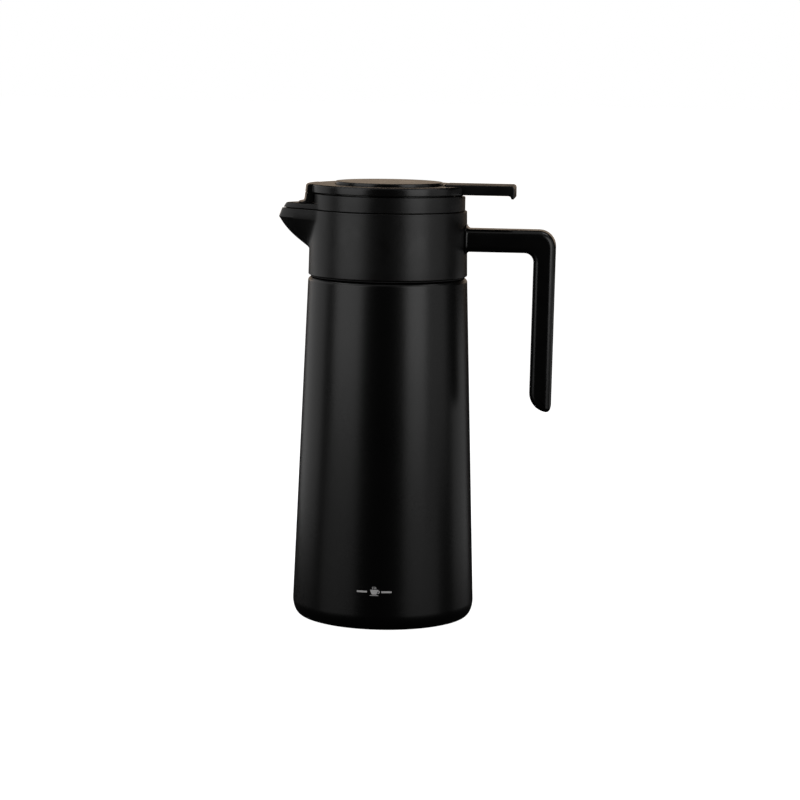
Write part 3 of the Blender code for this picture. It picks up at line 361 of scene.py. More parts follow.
# ------------------------------------------------------------------ mesh tools
def eased(corners: Sequence[Point], closed: bool = True, steps: int = 5) -> list[Point]:
    """Round the corners of a line of points in any number of dimensions.

    Args:
        corners: Points whose last number is how far from the corner its curve starts.
        closed: Whether the last point joins the first.
        steps: Pieces in each curve.

    Returns:
        Points without that last number.
    """
    line: list[Point] = []
    count = len(corners)
    for index, corner in enumerate(corners):
        here, ease = Vector(corner[:-1]), corner[-1]
        ends = index in (0, count - 1) and not closed
        if ease <= 0.0 or ends:
            line.append(tuple(here))
            continue
        before = Vector(corners[index - 1][:-1])
        after = Vector(corners[(index + 1) % count][:-1])
        start = here.lerp(before, min(0.5, ease / (before - here).length))
        end = here.lerp(after, min(0.5, ease / (after - here).length))
        for step in range(steps + 1):
            share = step / steps
            point = start.lerp(here, share).lerp(here.lerp(end, share), share)
            line.append(tuple(point))
    return line


def skin(builder: bmesh.types.BMesh, rings: Sequence[Sequence[bmesh.types.BMVert]],
         closed: bool) -> None:
    """Join rings of vertices into a surface.

    Args:
        builder: The mesh being built.
        rings: Rings of equal length.
        closed: Whether the last ring joins the first; otherwise both ends are capped.
    """
    count = len(rings[0])
    pairs = list(zip(rings, rings[1:]))
    if closed:
        pairs.append((rings[-1], rings[0]))
    for low, high in pairs:
        for index in range(count):
            after = (index + 1) % count
            builder.faces.new((low[index], low[after], high[after], high[index]))
    if not closed:
        builder.faces.new(rings[0])
        builder.faces.new(rings[-1])


def finished(name: str, builder: bmesh.types.BMesh, crease: float = CREASE) -> bpy.types.Object:
    """Turn a bmesh into an object with outward normals.

    Args:
        name: The object's name.
        builder: The mesh, which is freed.
        crease: Edges sharper than this many degrees stay sharp.

    Returns:
        The new object.
    """
    bmesh.ops.recalc_face_normals(builder, faces=builder.faces)
    mesh = bpy.data.meshes.new(name)
    builder.to_mesh(mesh)
    builder.free()
    mesh.shade_smooth()
    mesh.set_sharp_from_angle(angle=math.radians(crease))
    made = bpy.data.objects.new(name, mesh)
    bpy.context.scene.collection.objects.link(made)
    return made


def turned(name: str, section: Sequence[Point], closed: bool = True,
           sides: int = 160) -> bpy.types.Object:
    """A turned piece.

    Args:
        name: The object's name.
        section: (radius, height) points.
        closed: A ring if True; otherwise the ends are flat and capped.
        sides: Segments round the axis.

    Returns:
        The new object.
    """
    builder = bmesh.new()
    rings = []
    for radius, height in section:
        rings.append([builder.verts.new((radius * math.cos(math.tau * index / sides),
                                         radius * math.sin(math.tau * index / sides), height))
                      for index in range(sides)])
    skin(builder, rings, closed)
    return finished(name, builder)


def bar(name: str, radius: float, start: Point, end: Point, sides: int = 40) -> bpy.types.Object:
    """A plain round bar between two points, used as a cutter or a boss."""
    first, last = Vector(start), Vector(end)
    builder = bmesh.new()
    bmesh.ops.create_cone(builder, cap_ends=True, segments=sides, radius1=radius,
                          radius2=radius, depth=(last - first).length)
    turn = Vector((0.0, 0.0, 1.0)).rotation_difference((last - first).normalized())
    bmesh.ops.rotate(builder, cent=(0.0, 0.0, 0.0), matrix=turn.to_matrix(), verts=builder.verts)
    bmesh.ops.translate(builder, vec=(first + last) / 2.0, verts=builder.verts)
    return finished(name, builder)


def block(name: str, low: Point, high: Point, edge: float = 0.0) -> bpy.types.Object:
    """A box between two corners with its edges rounded off.

    Args:
        name: The object's name.
        low: Its lowest corner.
        high: Its highest corner.
        edge: Width of the rounding.

    Returns:
        The new object.
    """
    builder = bmesh.new()
    bmesh.ops.create_cube(builder, size=1.0)
    first, last = Vector(low), Vector(high)
    bmesh.ops.scale(builder, vec=last - first, verts=builder.verts)
    bmesh.ops.translate(builder, vec=(first + last) / 2.0, verts=builder.verts)
    if edge > 0.0:
        bmesh.ops.bevel(builder, geom=builder.edges, offset=edge, segments=3, affect="EDGES",
                        profile=0.5)
    return finished(name, builder)


def inset(corners: Sequence[Point], distance: float) -> list[Point]:
    """Move a counter-clockwise outline inwards, keeping its corner curves concentric.

    Args:
        corners: (x, z, radius) corners.
        distance: How far the outline moves in.

    Returns:
        The moved corners.
    """
    moved = []
    count = len(corners)
    for index, (x, z, radius) in enumerate(corners):
        before = Vector((x - corners[index - 1][0], z - corners[index - 1][1])).normalized()
        after = Vector((corners[(index + 1) % count][0] - x,
                        corners[(index + 1) % count][1] - z)).normalized()
        first = Vector((-before.y, before.x))
        second = Vector((-after.y, after.x))
        shift = (first + second) * (distance / (1.0 + first.dot(second)))
        convex = before.cross(after) > 0.0
        kept = radius - distance if convex else radius + distance
        moved.append((x + shift.x, z + shift.y, max(kept, LEAST_ROUND)))
    return moved


def rounded(corners: Sequence[Point], steps: int = 8) -> list[Point]:
    """Replace each (x, z, radius) corner of an outline with a circular arc."""
    outline = []
    count = len(corners)
    for index, (x, z, radius) in enumerate(corners):
        here = Vector((x, z))
        arriving = (Vector(corners[index - 1][:2]) - here).normalized()
        leaving = (Vector(corners[(index + 1) % count][:2]) - here).normalized()
        half = arriving.angle(leaving) / 2.0
        centre = here + (arriving + leaving).normalized() * (radius / math.sin(half))
        first = here + arriving * (radius / math.tan(half)) - centre
        last = here + leaving * (radius / math.tan(half)) - centre
        sweep = first.angle_signed(last)
        for step in range(steps + 1):
            outline.append(tuple(centre + Matrix.Rotation(-sweep * step / steps, 2) @ first))
    return outline


def pillowed(name: str, corners: Sequence[Point], depth: float, edge: float,
             steps: int = 8) -> bpy.types.Object:
    """An outline in XZ with thickness along Y and quarter-round edges.

    Args:
        name: The object's name.
        corners: Counter-clockwise (x, z, radius) corners.
        depth: Thickness along Y.
        edge: Radius of the rounded edges.
        steps: Points in each quarter round.

    Returns:
        The new object.
    """
    builder = bmesh.new()
    rings = []
    half = depth / 2.0
    layers = [math.pi / 2.0 * step / steps for step in range(steps + 1)]
    for side in (-1.0, 1.0):
        for angle in layers if side < 0 else reversed(layers):
            outline = rounded(inset(corners, edge * (1.0 - math.sin(angle))))
            y = side * (half - edge * (1.0 - math.cos(angle)))
            rings.append([builder.verts.new((x, y, z)) for x, z in outline])
    skin(builder, rings, False)
    return finished(name, builder)


def work_in(target: bpy.types.Object, crease: float) -> None:
    """Work a piece's modifiers into its mesh, and shade it again."""
    bpy.context.view_layer.update()
    graph = bpy.context.evaluated_depsgraph_get()
    mesh = bpy.data.meshes.new_from_object(target.evaluated_get(graph))
    target.modifiers.clear()
    target.data = mesh
    mesh.shade_smooth()
    mesh.set_sharp_from_angle(angle=math.radians(crease))


def combine(target: bpy.types.Object, others: Sequence[bpy.types.Object],
            operation: str) -> None:
    """Cut, join or intersect a piece with others, which are then removed.

    Args:
        target: The piece that changes.
        others: The pieces that act on it.
        operation: DIFFERENCE, UNION or INTERSECT.
    """
    for other in others:
        step = target.modifiers.new(operation.lower(), "BOOLEAN")
        step.operation = operation
        step.object = other
        step.solver = "EXACT"
    work_in(target, CREASE)
    for other in others:
        bpy.data.objects.remove(other, do_unlink=True)


def soften(target: bpy.types.Object, width: float, segments: int = 2,
           limit: float = 38.0) -> None:
    """Give a piece's hard edges a small round, worked into its mesh.

    Args:
        target: The piece.
        width: Width of the round.
        segments: Strips in the round.
        limit: Edges sharper than this many degrees are rounded.
    """
    step = target.modifiers.new("soften", "BEVEL")
    step.width = width
    step.segments = segments
    step.limit_method = "ANGLE"
    step.angle_limit = math.radians(limit)
    step.miter_outer = "MITER_ARC"
    step.harden_normals = False
    work_in(target, SOFT_CREASE)


def dress(piece: bpy.types.Object, body: str, nodes: Sequence[str],
          finish: bpy.types.Material) -> bpy.types.Object:
    """Give a piece its finish and its place in the model.

    Args:
        piece: The finished piece.
        body: The CAD body that it rides on.
        nodes: The CAD nodes that it stands for.
        finish: Its material.

    Returns:
        The piece.
    """
    piece.data.materials.clear()
    piece.data.materials.append(finish)
    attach(piece, body)
    if nodes:
        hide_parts(*nodes)
    LOG.info("%s rides on %s", piece.name, body)
    return piece


# ------------------------------------------------------------------ beaked mouldings
@dataclass(frozen=True)
class Beak:
    """How a round outline stands out towards the spout."""

    blunt: float = 3.0
    power: float = 1.5
    near_step: float = 0.9
    far_step: float = 2.4
    near: float = 36.0

    def angles(self) -> list[float]:
        """Angles from the spout's direction, close together near it."""
        near_count = round(self.near / self.near_step)
        far_count = round((180.0 - self.near) / self.far_step)
        half = [self.near * index / near_count for index in range(near_count)]
        half += [self.near + (180.0 - self.near) * index / far_count
                 for index in range(far_count)]
        return half + [180.0] + [360.0 - angle for angle in reversed(half[1:])]

    def radius(self, station: Point, angle: float) -> float:
        """Radius of a (radius, height, reach, spread) station at an angle."""
        radius, _, reach, spread = station
        away = min(angle, 360.0 - angle)
        away = math.hypot(away, self.blunt) - self.blunt
        share = max(0.0, 1.0 - away / (spread / MM))
        return radius + (reach - radius) * share ** self.power

    def loft(self, name: str, stations: Sequence[Point],
             closed: bool = True) -> bpy.types.Object:
        """Join stations into a moulding.

        Args:
            name: The object's name.
            stations: (radius, height, reach, spread in thousands of degrees).
            closed: Whether the last station joins the first.

        Returns:
            The new object.
        """
        builder = bmesh.new()
        rings = []
        for station in stations:
            ring = []
            for angle in self.angles():
                length = self.radius(station, angle)
                turn = math.radians(180.0 + angle)
                ring.append(builder.verts.new((length * math.cos(turn),
                                               length * math.sin(turn), station[1])))
            rings.append(ring)
        skin(builder, rings, closed)
        return finished(name, builder)


def level(radius: float, height: float, ease: float = 0.0) -> Point:
    """A round station with no beak, for easing."""
    return (radius, height, radius, 30.0 * MM, ease)


def beaked(radius: float, height: float, reach: float, spread: float,
           ease: float = 0.0) -> Point:
    """A station that stands out to a reach within so many degrees of the spout."""
    return (radius, height, reach, spread * MM, ease)


# ------------------------------------------------------------------ fasteners
@dataclass(frozen=True)
class Screw:
    """A pan-head screw with a cross recess, standing on its seat with its head at +Z."""

    shank_radius: float
    head_radius: float
    head_height: float
    length: float
    pitch: float = 1.1 * MM
    thread_depth: float = 0.22 * MM
    recess_width: float = 0.55 * MM

    def build(self, name: str) -> bpy.types.Object:
        """Build the screw.

        Args:
            name: The piece's name.

        Returns:
            The screw, with its seat at the origin.
        """
        section: list[Point] = [(0.2 * self.shank_radius, -self.length)]
        count = int(self.length / self.pitch) - 1
        for index in range(count):
            low = -self.length + self.shank_radius + index * self.pitch
            section.append((self.shank_radius - self.thread_depth, low))
            section.append((self.shank_radius, low + 0.5 * self.pitch))
        section.append((self.shank_radius - self.thread_depth, 0.0))
        dome = [(self.head_radius, 0.0, 0.0),
                (self.head_radius, self.head_height, 0.8 * self.head_height),
                (0.3 * self.head_radius, self.head_height, 0.0)]
        section += eased(dome, closed=False)
        screw = turned(name, section, closed=False, sides=48)
        half, reach = 0.5 * self.recess_width, 0.6 * self.head_radius
        low, high = 0.4 * self.head_height, 1.2 * self.head_height
        slots = [block("recess_a", (-reach, -half, low), (reach, half, high)),
                 block("recess_b", (-half, -reach, low), (half, reach, high))]
        combine(screw, slots, "DIFFERENCE")
        return screw


def moved(piece: bpy.types.Object, matrix: Matrix) -> bpy.types.Object:
    """Move a piece's mesh, leaving its origin where it is."""
    piece.data.transform(matrix)
    return piece


def recoat(names: Sequence[str], finish: bpy.types.Material) -> None:
    """Give CAD nodes a better finish.

    Args:
        names: The nodes.
        finish: Their material.
    """
    for name in names:
        node = bpy.data.objects[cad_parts[name].name]
        for holder in node.material_slots:
            holder.link = "OBJECT"
            holder.material = finish
        LOG.info("%s keeps its own shape", name)


# ------------------------------------------------------------------ steel flask
@dataclass(frozen=True)
class Flask:
    """The vacuum-walled flask: drawn outer wall, inner vessel, foot and pad."""

    base_radius: float = 52.0 * MM
    foot_radius: float = 47.5 * MM
    foot_height: float = 9.0 * MM
    foot_lift: float = 0.5 * MM
    shoulder_radius: float = 45.3 * MM
    shoulder_z: float = 195.2 * MM
    chamfer: float = 1.5 * MM
    neck_radius: float = 38.0 * MM
    neck_top_z: float = 209.1 * MM
    neck_bend: float = 1.5 * MM
    wall: float = 0.8 * MM
    vacuum: float = 3.2 * MM
    floor_z: float = 10.5 * MM
    floor_corner: float = 11.0 * MM
    floor_opening: float = 4.0 * MM
    inner_dome: float = 7.0 * MM
    mouth_radius: float = 35.4 * MM
    pad_radius: float = 45.3 * MM
    pad_height: float = 2.3 * MM
    collar_radius: float = 43.9 * MM
    collar_height: float = 0.6 * MM

    def radius_at(self, height: float) -> float:
        """Radius of the tapered wall at a height."""
        low = self.foot_lift + self.foot_height
        share = (height - low) / (self.shoulder_z - self.chamfer - low)
        return self.base_radius + (self.shoulder_radius - self.base_radius) * share

    def outer_section(self, depth: float) -> list[Point]:
        """The outer wall's section at a depth under its surface, from foot to neck."""
        swell = self.base_radius - self.foot_radius
        section = []
        steps = 14
        for index in range(steps + 1):
            angle = math.pi / 2.0 * index / steps
            section.append((self.foot_radius - depth + swell * math.sin(angle),
                            self.foot_lift + self.foot_height
                            - (self.foot_height - depth) * math.cos(angle)))
        section[0] = (self.foot_radius - depth, self.foot_lift)
        slant = depth * math.tan(math.pi / 8.0)
        low = self.shoulder_z - self.chamfer - slant
        bend = self.neck_bend + depth
        upper = [(self.radius_at(0.7 * self.shoulder_z) - depth, 0.7 * self.shoulder_z, 0.0),
                 (self.radius_at(low) - depth, low, 0.7 * MM),
                 (self.shoulder_radius - self.chamfer - slant, self.shoulder_z - depth, 0.7 * MM),
                 (self.neck_radius - depth, self.shoulder_z - depth, bend),
                 (self.neck_radius - depth, self.neck_top_z, 0.0)]
        return section + eased(upper, closed=False)

    def inner_section(self, depth: float) -> list[Point]:
        """The inner wall's section at a depth under its outer face, from floor to mouth."""
        stand_off = self.wall + self.vacuum + depth
        top = self.shoulder_z - self.wall - self.inner_dome - self.vacuum
        floor_radius = self.radius_at(self.floor_z) - stand_off
        neck = self.mouth_radius + self.wall - depth
        return [(self.floor_opening, self.floor_z + depth, 0.0),
                (floor_radius, self.floor_z + depth, self.floor_corner),
                (self.radius_at(top) - stand_off, top, 4.0 * MM),
                (neck, top + self.inner_dome, 3.0 * MM),
                (neck, self.neck_top_z + GAP + depth, 0.0)]

    def build_outer_wall(self) -> bpy.types.Object:
        """Draw the outer wall with its foot, shoulder and neck."""
        section = self.outer_section(0.0) + list(reversed(self.outer_section(self.wall)))
        return turned("coated_outer_wall", section, sides=256)

    def build_inner_wall(self) -> bpy.types.Object:
        """Draw the vessel that holds the coffee, with its rolled lip."""
        outside = eased(self.inner_section(0.0), closed=False, steps=8)
        inside = eased(self.inner_section(self.wall), closed=False, steps=8)
        lip_z = self.neck_top_z + GAP
        lip = [(self.neck_radius, lip_z, 0.2 * MM), (self.neck_radius, lip_z + self.wall, 0.3 * MM),
               (self.mouth_radius, lip_z + self.wall, 0.3 * MM)]
        ends = [(*outside[-1], 0.0), *lip, (*inside[-2], 0.0)]
        section = outside[:-1] + eased(ends, closed=False) + list(reversed(inside[:-2]))
        return turned("steel_inner_vessel", section, closed=False, sides=160)

    def build_pad(self) -> bpy.types.Object:
        """Mould the foot pad, ribbed underneath."""
        low: list[Point] = [(3.0 * MM, 0.5 * MM, 0.0)]
        for radius in (14.0 * MM, 24.0 * MM, 34.0 * MM):
            low += [(radius, 0.5 * MM, 0.2 * MM), (radius + 0.6 * MM, 0.0, 0.2 * MM),
                    (radius + 4.0 * MM, 0.0, 0.2 * MM), (radius + 4.6 * MM, 0.5 * MM, 0.2 * MM)]
        edge = [(self.pad_radius - 2.4 * MM, 0.5 * MM, 0.2 * MM),
                (self.pad_radius - 1.8 * MM, 0.0, 0.2 * MM),
                (self.pad_radius, 0.0, 0.5 * MM), (self.pad_radius, self.pad_height, 0.4 * MM),
                (self.pad_radius - 3.0 * MM, self.pad_height, 0.0)]
        return turned("foot_pad", eased(low + edge, closed=False), closed=False)

    def build_collar(self) -> bpy.types.Object:
        """Mould the dark ring between the shoulder and the head."""
        inner = self.neck_radius + self.neck_bend + GAP
        low = self.shoulder_z + GAP
        high = low + self.collar_height
        section = eased([(inner, low, 0.1 * MM), (self.collar_radius, low, 0.25 * MM),
                         (self.collar_radius, high, 0.25 * MM), (inner, high, 0.1 * MM)])
        return turned("shoulder_ring", section, sides=200)

    def build(self, finishes: Finishes) -> None:
        """Build and dress the flask.

        Args:
            finishes: The server's finishes.
        """
        dress(self.build_outer_wall(), "flask", ["outer_shell"],
              finishes.coat)
        dress(self.build_inner_wall(), "flask", ["inner_vessel"],
              finishes.steel)
        dress(self.build_pad(), "flask", ["base_pad"], finishes.silicone)
        dress(self.build_collar(), "flask", ["collar_ring"], finishes.silicone)
        recoat(["shell_base", "radiation_foil"], finishes.steel)
        recoat(["vacuum_seal", "getter"], finishes.brass)
        recoat(["neck_gasket"], finishes.silicone)


# ------------------------------------------------------------------ generic mark
@dataclass(frozen=True)
class Mark:
    """A small printed cup between two bars, low on the front of the flask."""

    flask: Flask
    height: float = 23.4 * MM
    ink: float = 0.05 * MM

    def wrapped(self, across: float, up: float, lift: float) -> Vector:
        """A point of the mark on the wall; across and up are in millimetres, lift isn't."""
        z = self.height + up * MM
        radius = self.flask.radius_at(z) + lift
        angle = across * MM / radius
        return Vector((radius * math.sin(angle), -radius * math.cos(angle), z))

    def stroke(self, builder: bmesh.types.BMesh, path: Sequence[Point]) -> None:
        """Add one thin closed stroke.

        Args:
            builder: The mesh being built.
            path: (across, up, half width) points along the stroke.
        """
        rings = []
        for index, (across, up, half) in enumerate(path):
            before = path[max(index - 1, 0)]
            after = path[min(index + 1, len(path) - 1)]
            along = Vector((after[0] - before[0], after[1] - before[1])).normalized()
            side = Vector((-along.y, along.x)) * half
            corners = [(across + side.x, up + side.y, -self.ink),
                       (across + side.x, up + side.y, self.ink),
                       (across - side.x, up - side.y, self.ink),
                       (across - side.x, up - side.y, -self.ink)]
            rings.append([builder.verts.new(self.wrapped(*corner)) for corner in corners])
        skin(builder, rings, False)

    def build(self, finishes: Finishes) -> None:
        """Build and dress the mark."""
        builder = bmesh.new()
        for side in (-1.0, 1.0):
            self.stroke(builder, [(side * (4.0 + 0.65 * index), -0.5, 0.5) for index in range(10)])
        cup = [(0.0, -2.0 + 0.27 * index, 1.2 + 1.0 * math.sin(math.pi / 2.0 * index / 10))
               for index in range(11)]
        self.stroke(builder, cup)
        ear = [(2.0 + 0.9 * math.sin(math.pi * index / 10), -0.5 + 0.75 * math.cos(
            math.pi * index / 10), 0.26) for index in range(11)]
        self.stroke(builder, ear)
        self.stroke(builder, [(-2.4 + 0.48 * index, -2.5, 0.16) for index in range(11)])
        for start in (-0.9, 0.0, 0.9):
            self.stroke(builder, [(start + 0.18 * math.sin(0.9 * index), 1.05 + 0.16 * index, 0.15)
                                  for index in range(9)])
        dress(finished("printed_cup_mark", builder), "flask", [],
              finishes.ink)


# ------------------------------------------------------------------ pouring head
@dataclass(frozen=True)
class PouringHead:
    """The moulded head: sleeve, threaded ledge, bore and spout."""

    beak: Beak = Beak()
    foot_z: float = 196.4 * MM
    height: float = 36.9 * MM
    foot_radius: float = 45.2 * MM
    top_radius: float = 44.5 * MM
    edge: float = 0.6 * MM
    bore_radius: float = 40.5 * MM
    thread_radius: float = 36.3 * MM
    ledge_z: float = 212.0 * MM
    ledge_top_z: float = 218.9 * MM
    sleeve_radius: float = 38.4 * MM
    sleeve_wall: float = 2.0 * MM
    skin_wall: float = 2.5 * MM
    spout_reach: float = 62.8 * MM
    mouth_reach: float = 61.0 * MM
    spout_drop: float = 22.4 * MM
    nose_drop: float = 4.9 * MM
    spread: float = 29.0
    root_spread: float = 13.0
    spout_wall: float = 2.1 * MM
    wall_lift: float = 0.8
    bulge: float = 0.12
    screw_z: float = 215.45 * MM
    screw_side: float = 5.5 * MM
    screw_seat: float = 39.7 * MM
    screw_pocket: float = 3.5 * MM
    screw_hole: float = 2.2 * MM
    lip: float = 1.4 * MM

    @property
    def top_z(self) -> float:
        """Height of the head's rim."""
        return self.foot_z + self.height

    def radius_at(self, height: float) -> float:
        """Outer radius of the head at a height."""
        share = (height - self.foot_z) / self.height
        return self.foot_radius + (self.top_radius - self.foot_radius) * share

    def spout(self, depth: float, base: Callable[[float], float], low: float,
              high: float) -> list[Point]:
        """Stations up the spout.

        Args:
            depth: How far inside the outer face they lie.
            base: The round part's radius at a height.
            low: No station stands below this.
            high: No station stands above this.

        Returns:
            (radius, height, reach, spread) stations.
        """
        root = self.top_z - self.spout_drop
        nose = self.top_z - self.nose_drop
        steps = 18
        stations = []
        for index in range(steps + 1):
            share = index / steps
            height = root + (nose - root) * share
            lean = share + self.bulge * math.sin(math.pi * share)
            reach = self.radius_at(height) + (self.spout_reach - self.radius_at(height)) * lean
            spread = self.root_spread + (self.spread - self.root_spread) * share
            lifted = height + self.wall_lift * depth
            if low < lifted < high - MM:
                radius = base(lifted)
                stations.append((radius, lifted, max(radius, reach - depth), spread * MM))
        return stations

    def build_head(self) -> bpy.types.Object:
        """Mould the head."""
        top, edge = self.top_z, self.edge
        foot = eased([level(self.radius_at(self.foot_z) - 1.2 * MM, self.foot_z),
                      level(self.radius_at(self.foot_z), self.foot_z, edge),
                      level(self.radius_at(self.foot_z + 6.0 * MM), self.foot_z + 6.0 * MM)],
                     closed=False)
        outside = self.spout(0.0, self.radius_at, self.foot_z, top)
        channel = self.spout(self.spout_wall, lambda _: self.bore_radius,
                             self.ledge_top_z + edge, top)
        mouth = self.mouth_reach - self.spout_wall
        rim = eased([(*outside[-1], 0.0),
                     beaked(self.top_radius, top - self.lip, self.mouth_reach + 0.5 * MM,
                            self.spread, 0.6 * MM),
                     beaked(self.top_radius, top, self.mouth_reach, self.spread, 0.45 * MM),
                     beaked(self.bore_radius, top, mouth, self.spread, 0.45 * MM),
                     beaked(self.bore_radius, top - self.lip, mouth + 0.3 * MM, self.spread,
                            0.4 * MM),
                     (*channel[-1], 0.0)], closed=False)
        skin_radius = self.radius_at(self.ledge_z) - self.skin_wall
        sleeve = self.sleeve_radius + self.sleeve_wall
        under = self.ledge_z - self.sleeve_wall
        inside = eased([level(self.bore_radius, self.ledge_top_z + 2.0 * MM),
                        level(self.bore_radius, self.ledge_top_z, 1.0 * MM),
                        level(self.thread_radius, self.ledge_top_z, edge),
                        level(self.thread_radius, self.ledge_z, 0.3 * MM),
                        level(self.sleeve_radius, self.ledge_z, 0.3 * MM),
                        level(self.sleeve_radius, self.foot_z, 0.4 * MM),
                        level(sleeve, self.foot_z, 0.4 * MM), level(sleeve, under, 0.6 * MM),
                        level(skin_radius, under, 0.6 * MM),
                        level(skin_radius, self.foot_z, 0.3 * MM),
                        level(self.radius_at(self.foot_z) - 1.3 * MM, self.foot_z)],
                       closed=False, steps=3)
        head = self.beak.loft("pouring_head_moulding",
                              foot + outside[:-1] + rim + list(reversed(channel[:-1])) + inside)
        cuts = []
        for side in (-1.0, 1.0):
            y = side * self.screw_side
            cuts.append(bar("pocket", self.screw_pocket, (0.0, y, self.screw_z),
                            (self.screw_seat, y, self.screw_z)))
            cuts.append(bar("hole", self.screw_hole, (self.screw_seat - MM, y, self.screw_z),
                            (self.foot_radius + 6.0 * MM, y, self.screw_z)))
        combine(head, cuts, "DIFFERENCE")
        return head

    def build(self, finishes: Finishes) -> None:
        """Build and dress the head and the screws that hold the handle to it."""
        dress(self.build_head(), "flask", ["pouring_head"], finishes.plastic)
        screw = Screw(shank_radius=1.9 * MM, head_radius=3.2 * MM, head_height=2.0 * MM,
                      length=13.0 * MM)
        for index, side in enumerate((-1.0, 1.0), start=1):
            made = screw.build(f"handle_fixing_{index}")
            place = Matrix.Translation((self.screw_seat - GAP, side * self.screw_side,
                                        self.screw_z))
            moved(made, place @ Matrix.Rotation(-math.pi / 2.0, 4, "Y"))
            dress(made, "flask", [f"handle_screw_{index}"], finishes.wire)


# ------------------------------------------------------------------ handle
@dataclass(frozen=True)
class Handle:
    """A level arm with a grip that hangs from it, on a saddle that fits the head."""

    head: PouringHead
    root: float = 41.0 * MM
    top_z: float = 223.7 * MM
    arm_height: float = 12.9 * MM
    reach: float = 95.2 * MM
    lean: float = 0.8 * MM
    grip_width: float = 12.3 * MM
    end_z: float = 120.1 * MM
    depth: float = 19.0 * MM
    edge: float = 3.6 * MM
    flare: float = 2.2 * MM
    outer_corner: float = 9.5 * MM
    inner_corner: float = 5.0 * MM
    end_corner: float = 11.0 * MM
    tip_corner: float = 2.6 * MM
    liner_depth: float = 1.5 * MM
    liner_width: float = 9.0 * MM
    liner_length: float = 64.0 * MM
    rib_count: int = 15
    rib_radius: float = 0.8 * MM
    rib_rise: float = 0.55 * MM
    rib_half: float = 3.6 * MM
    screw_end: float = 53.1 * MM

    @property
    def inner_x(self) -> float:
        """Place of the grip's finger side, at the arm."""
        return self.reach - self.grip_width

    @property
    def liner_z(self) -> float:
        """Height of the liner's middle."""
        return (self.top_z - self.arm_height + self.end_z) / 2.0

    def outline(self) -> list[Point]:
        """The handle's side view."""
        under = self.top_z - self.arm_height
        inner = self.inner_x
        return [(self.root, self.top_z, 0.05 * MM), (self.root, under, 0.05 * MM),
                (inner, under, self.inner_corner),
                (inner - self.lean, self.end_z + self.tip_corner, self.end_corner),
                (self.reach - self.lean, self.end_z, self.tip_corner),
                (self.reach, self.top_z, self.outer_corner)]

    def build_saddle(self) -> bpy.types.Object:
        """Loft the arm's end, which spreads into a saddle."""
        builder = bmesh.new()
        middle = self.top_z - self.arm_height / 2.0
        wall = self.head.radius_at(middle)
        steps = 14
        stations = [(self.root + GAP, self.flare)]
        for index in range(steps + 1):
            angle = math.pi / 2.0 * index / steps
            stations.append((wall + self.flare * (1.0 - math.cos(angle)),
                             self.flare * (1.0 - math.sin(angle))))
        rings = []
        for x, grow in stations:
            tall = self.arm_height / 2.0 - FINE_GAP + grow
            wide = self.depth / 2.0 - FINE_GAP + 0.3 * grow
            corner = self.edge + grow
            outline = rounded([(-wide, -tall, corner), (wide, -tall, corner),
                               (wide, tall, corner), (-wide, tall, corner)])
            rings.append([builder.verts.new((x, y, middle + z)) for y, z in outline])
        skin(builder, rings, False)
        return finished("saddle", builder)

    def liner_block(self, name: str, grow: float, edge: float) -> bpy.types.Object:
        """The strip on the finger side, or its recess when it is grown."""
        outward = 2.0 * self.liner_depth if grow else 0.0
        half = (self.liner_width / 2.0 + grow, self.liner_length / 2.0 + grow)
        strip = block(name, (-outward, -half[0], -half[1]),
                      (self.liner_depth + grow, half[0], half[1]), edge)
        drop = (self.top_z - self.liner_z) / (self.top_z - self.end_z)
        turn = Matrix.Rotation(math.atan2(self.lean, self.top_z - self.end_z), 4, "Y")
        place = Matrix.Translation((self.inner_x - self.lean * drop, 0.0, self.liner_z))
        return moved(strip, place @ turn)

    def build_handle(self) -> bpy.types.Object:
        """Mould the handle."""
        handle = pillowed("handle_moulding", self.outline(), self.depth, self.edge, steps=10)
        combine(handle, [self.build_saddle()], "UNION")
        head = self.head
        wall = [(head.radius_at(z) + GAP, z)
                for z in (head.foot_z - MM, head.top_z - self.arm_height, head.top_z + MM)]
        cuts = [turned("head_space", wall, closed=False, sides=256),
                self.liner_block("liner_space", 0.1 * MM, 0.0)]
        for side in (-1.0, 1.0):
            y = side * head.screw_side
            cuts.append(bar("screw_space", head.screw_hole, (self.root - MM, y, head.screw_z),
                            (self.screw_end, y, head.screw_z)))
        combine(handle, cuts, "DIFFERENCE")
        return handle

    def build_liner(self) -> bpy.types.Object:
        """Mould the soft strip with its finger ribs."""
        strip = self.liner_block("finger_strip", 0.0, 0.4 * MM)
        grooves = []
        for index in range(self.rib_count):
            z = self.liner_z + self.liner_length * (index / (self.rib_count - 1) - 0.5) * 0.9
            drop = (self.top_z - z) / (self.top_z - self.end_z)
            x = self.inner_x - self.lean * drop - self.rib_rise
            grooves.append(bar("groove", self.rib_radius, (x, -self.rib_half, z),
                               (x, self.rib_half, z), 24))
        combine(strip, grooves, "DIFFERENCE")
        return strip

    def build(self, finishes: Finishes) -> None:
        """Build and dress the handle."""
        dress(self.build_handle(), "flask", ["handle"], finishes.handle)
        dress(self.build_liner(), "flask", ["grip_liner"], finishes.silicone)


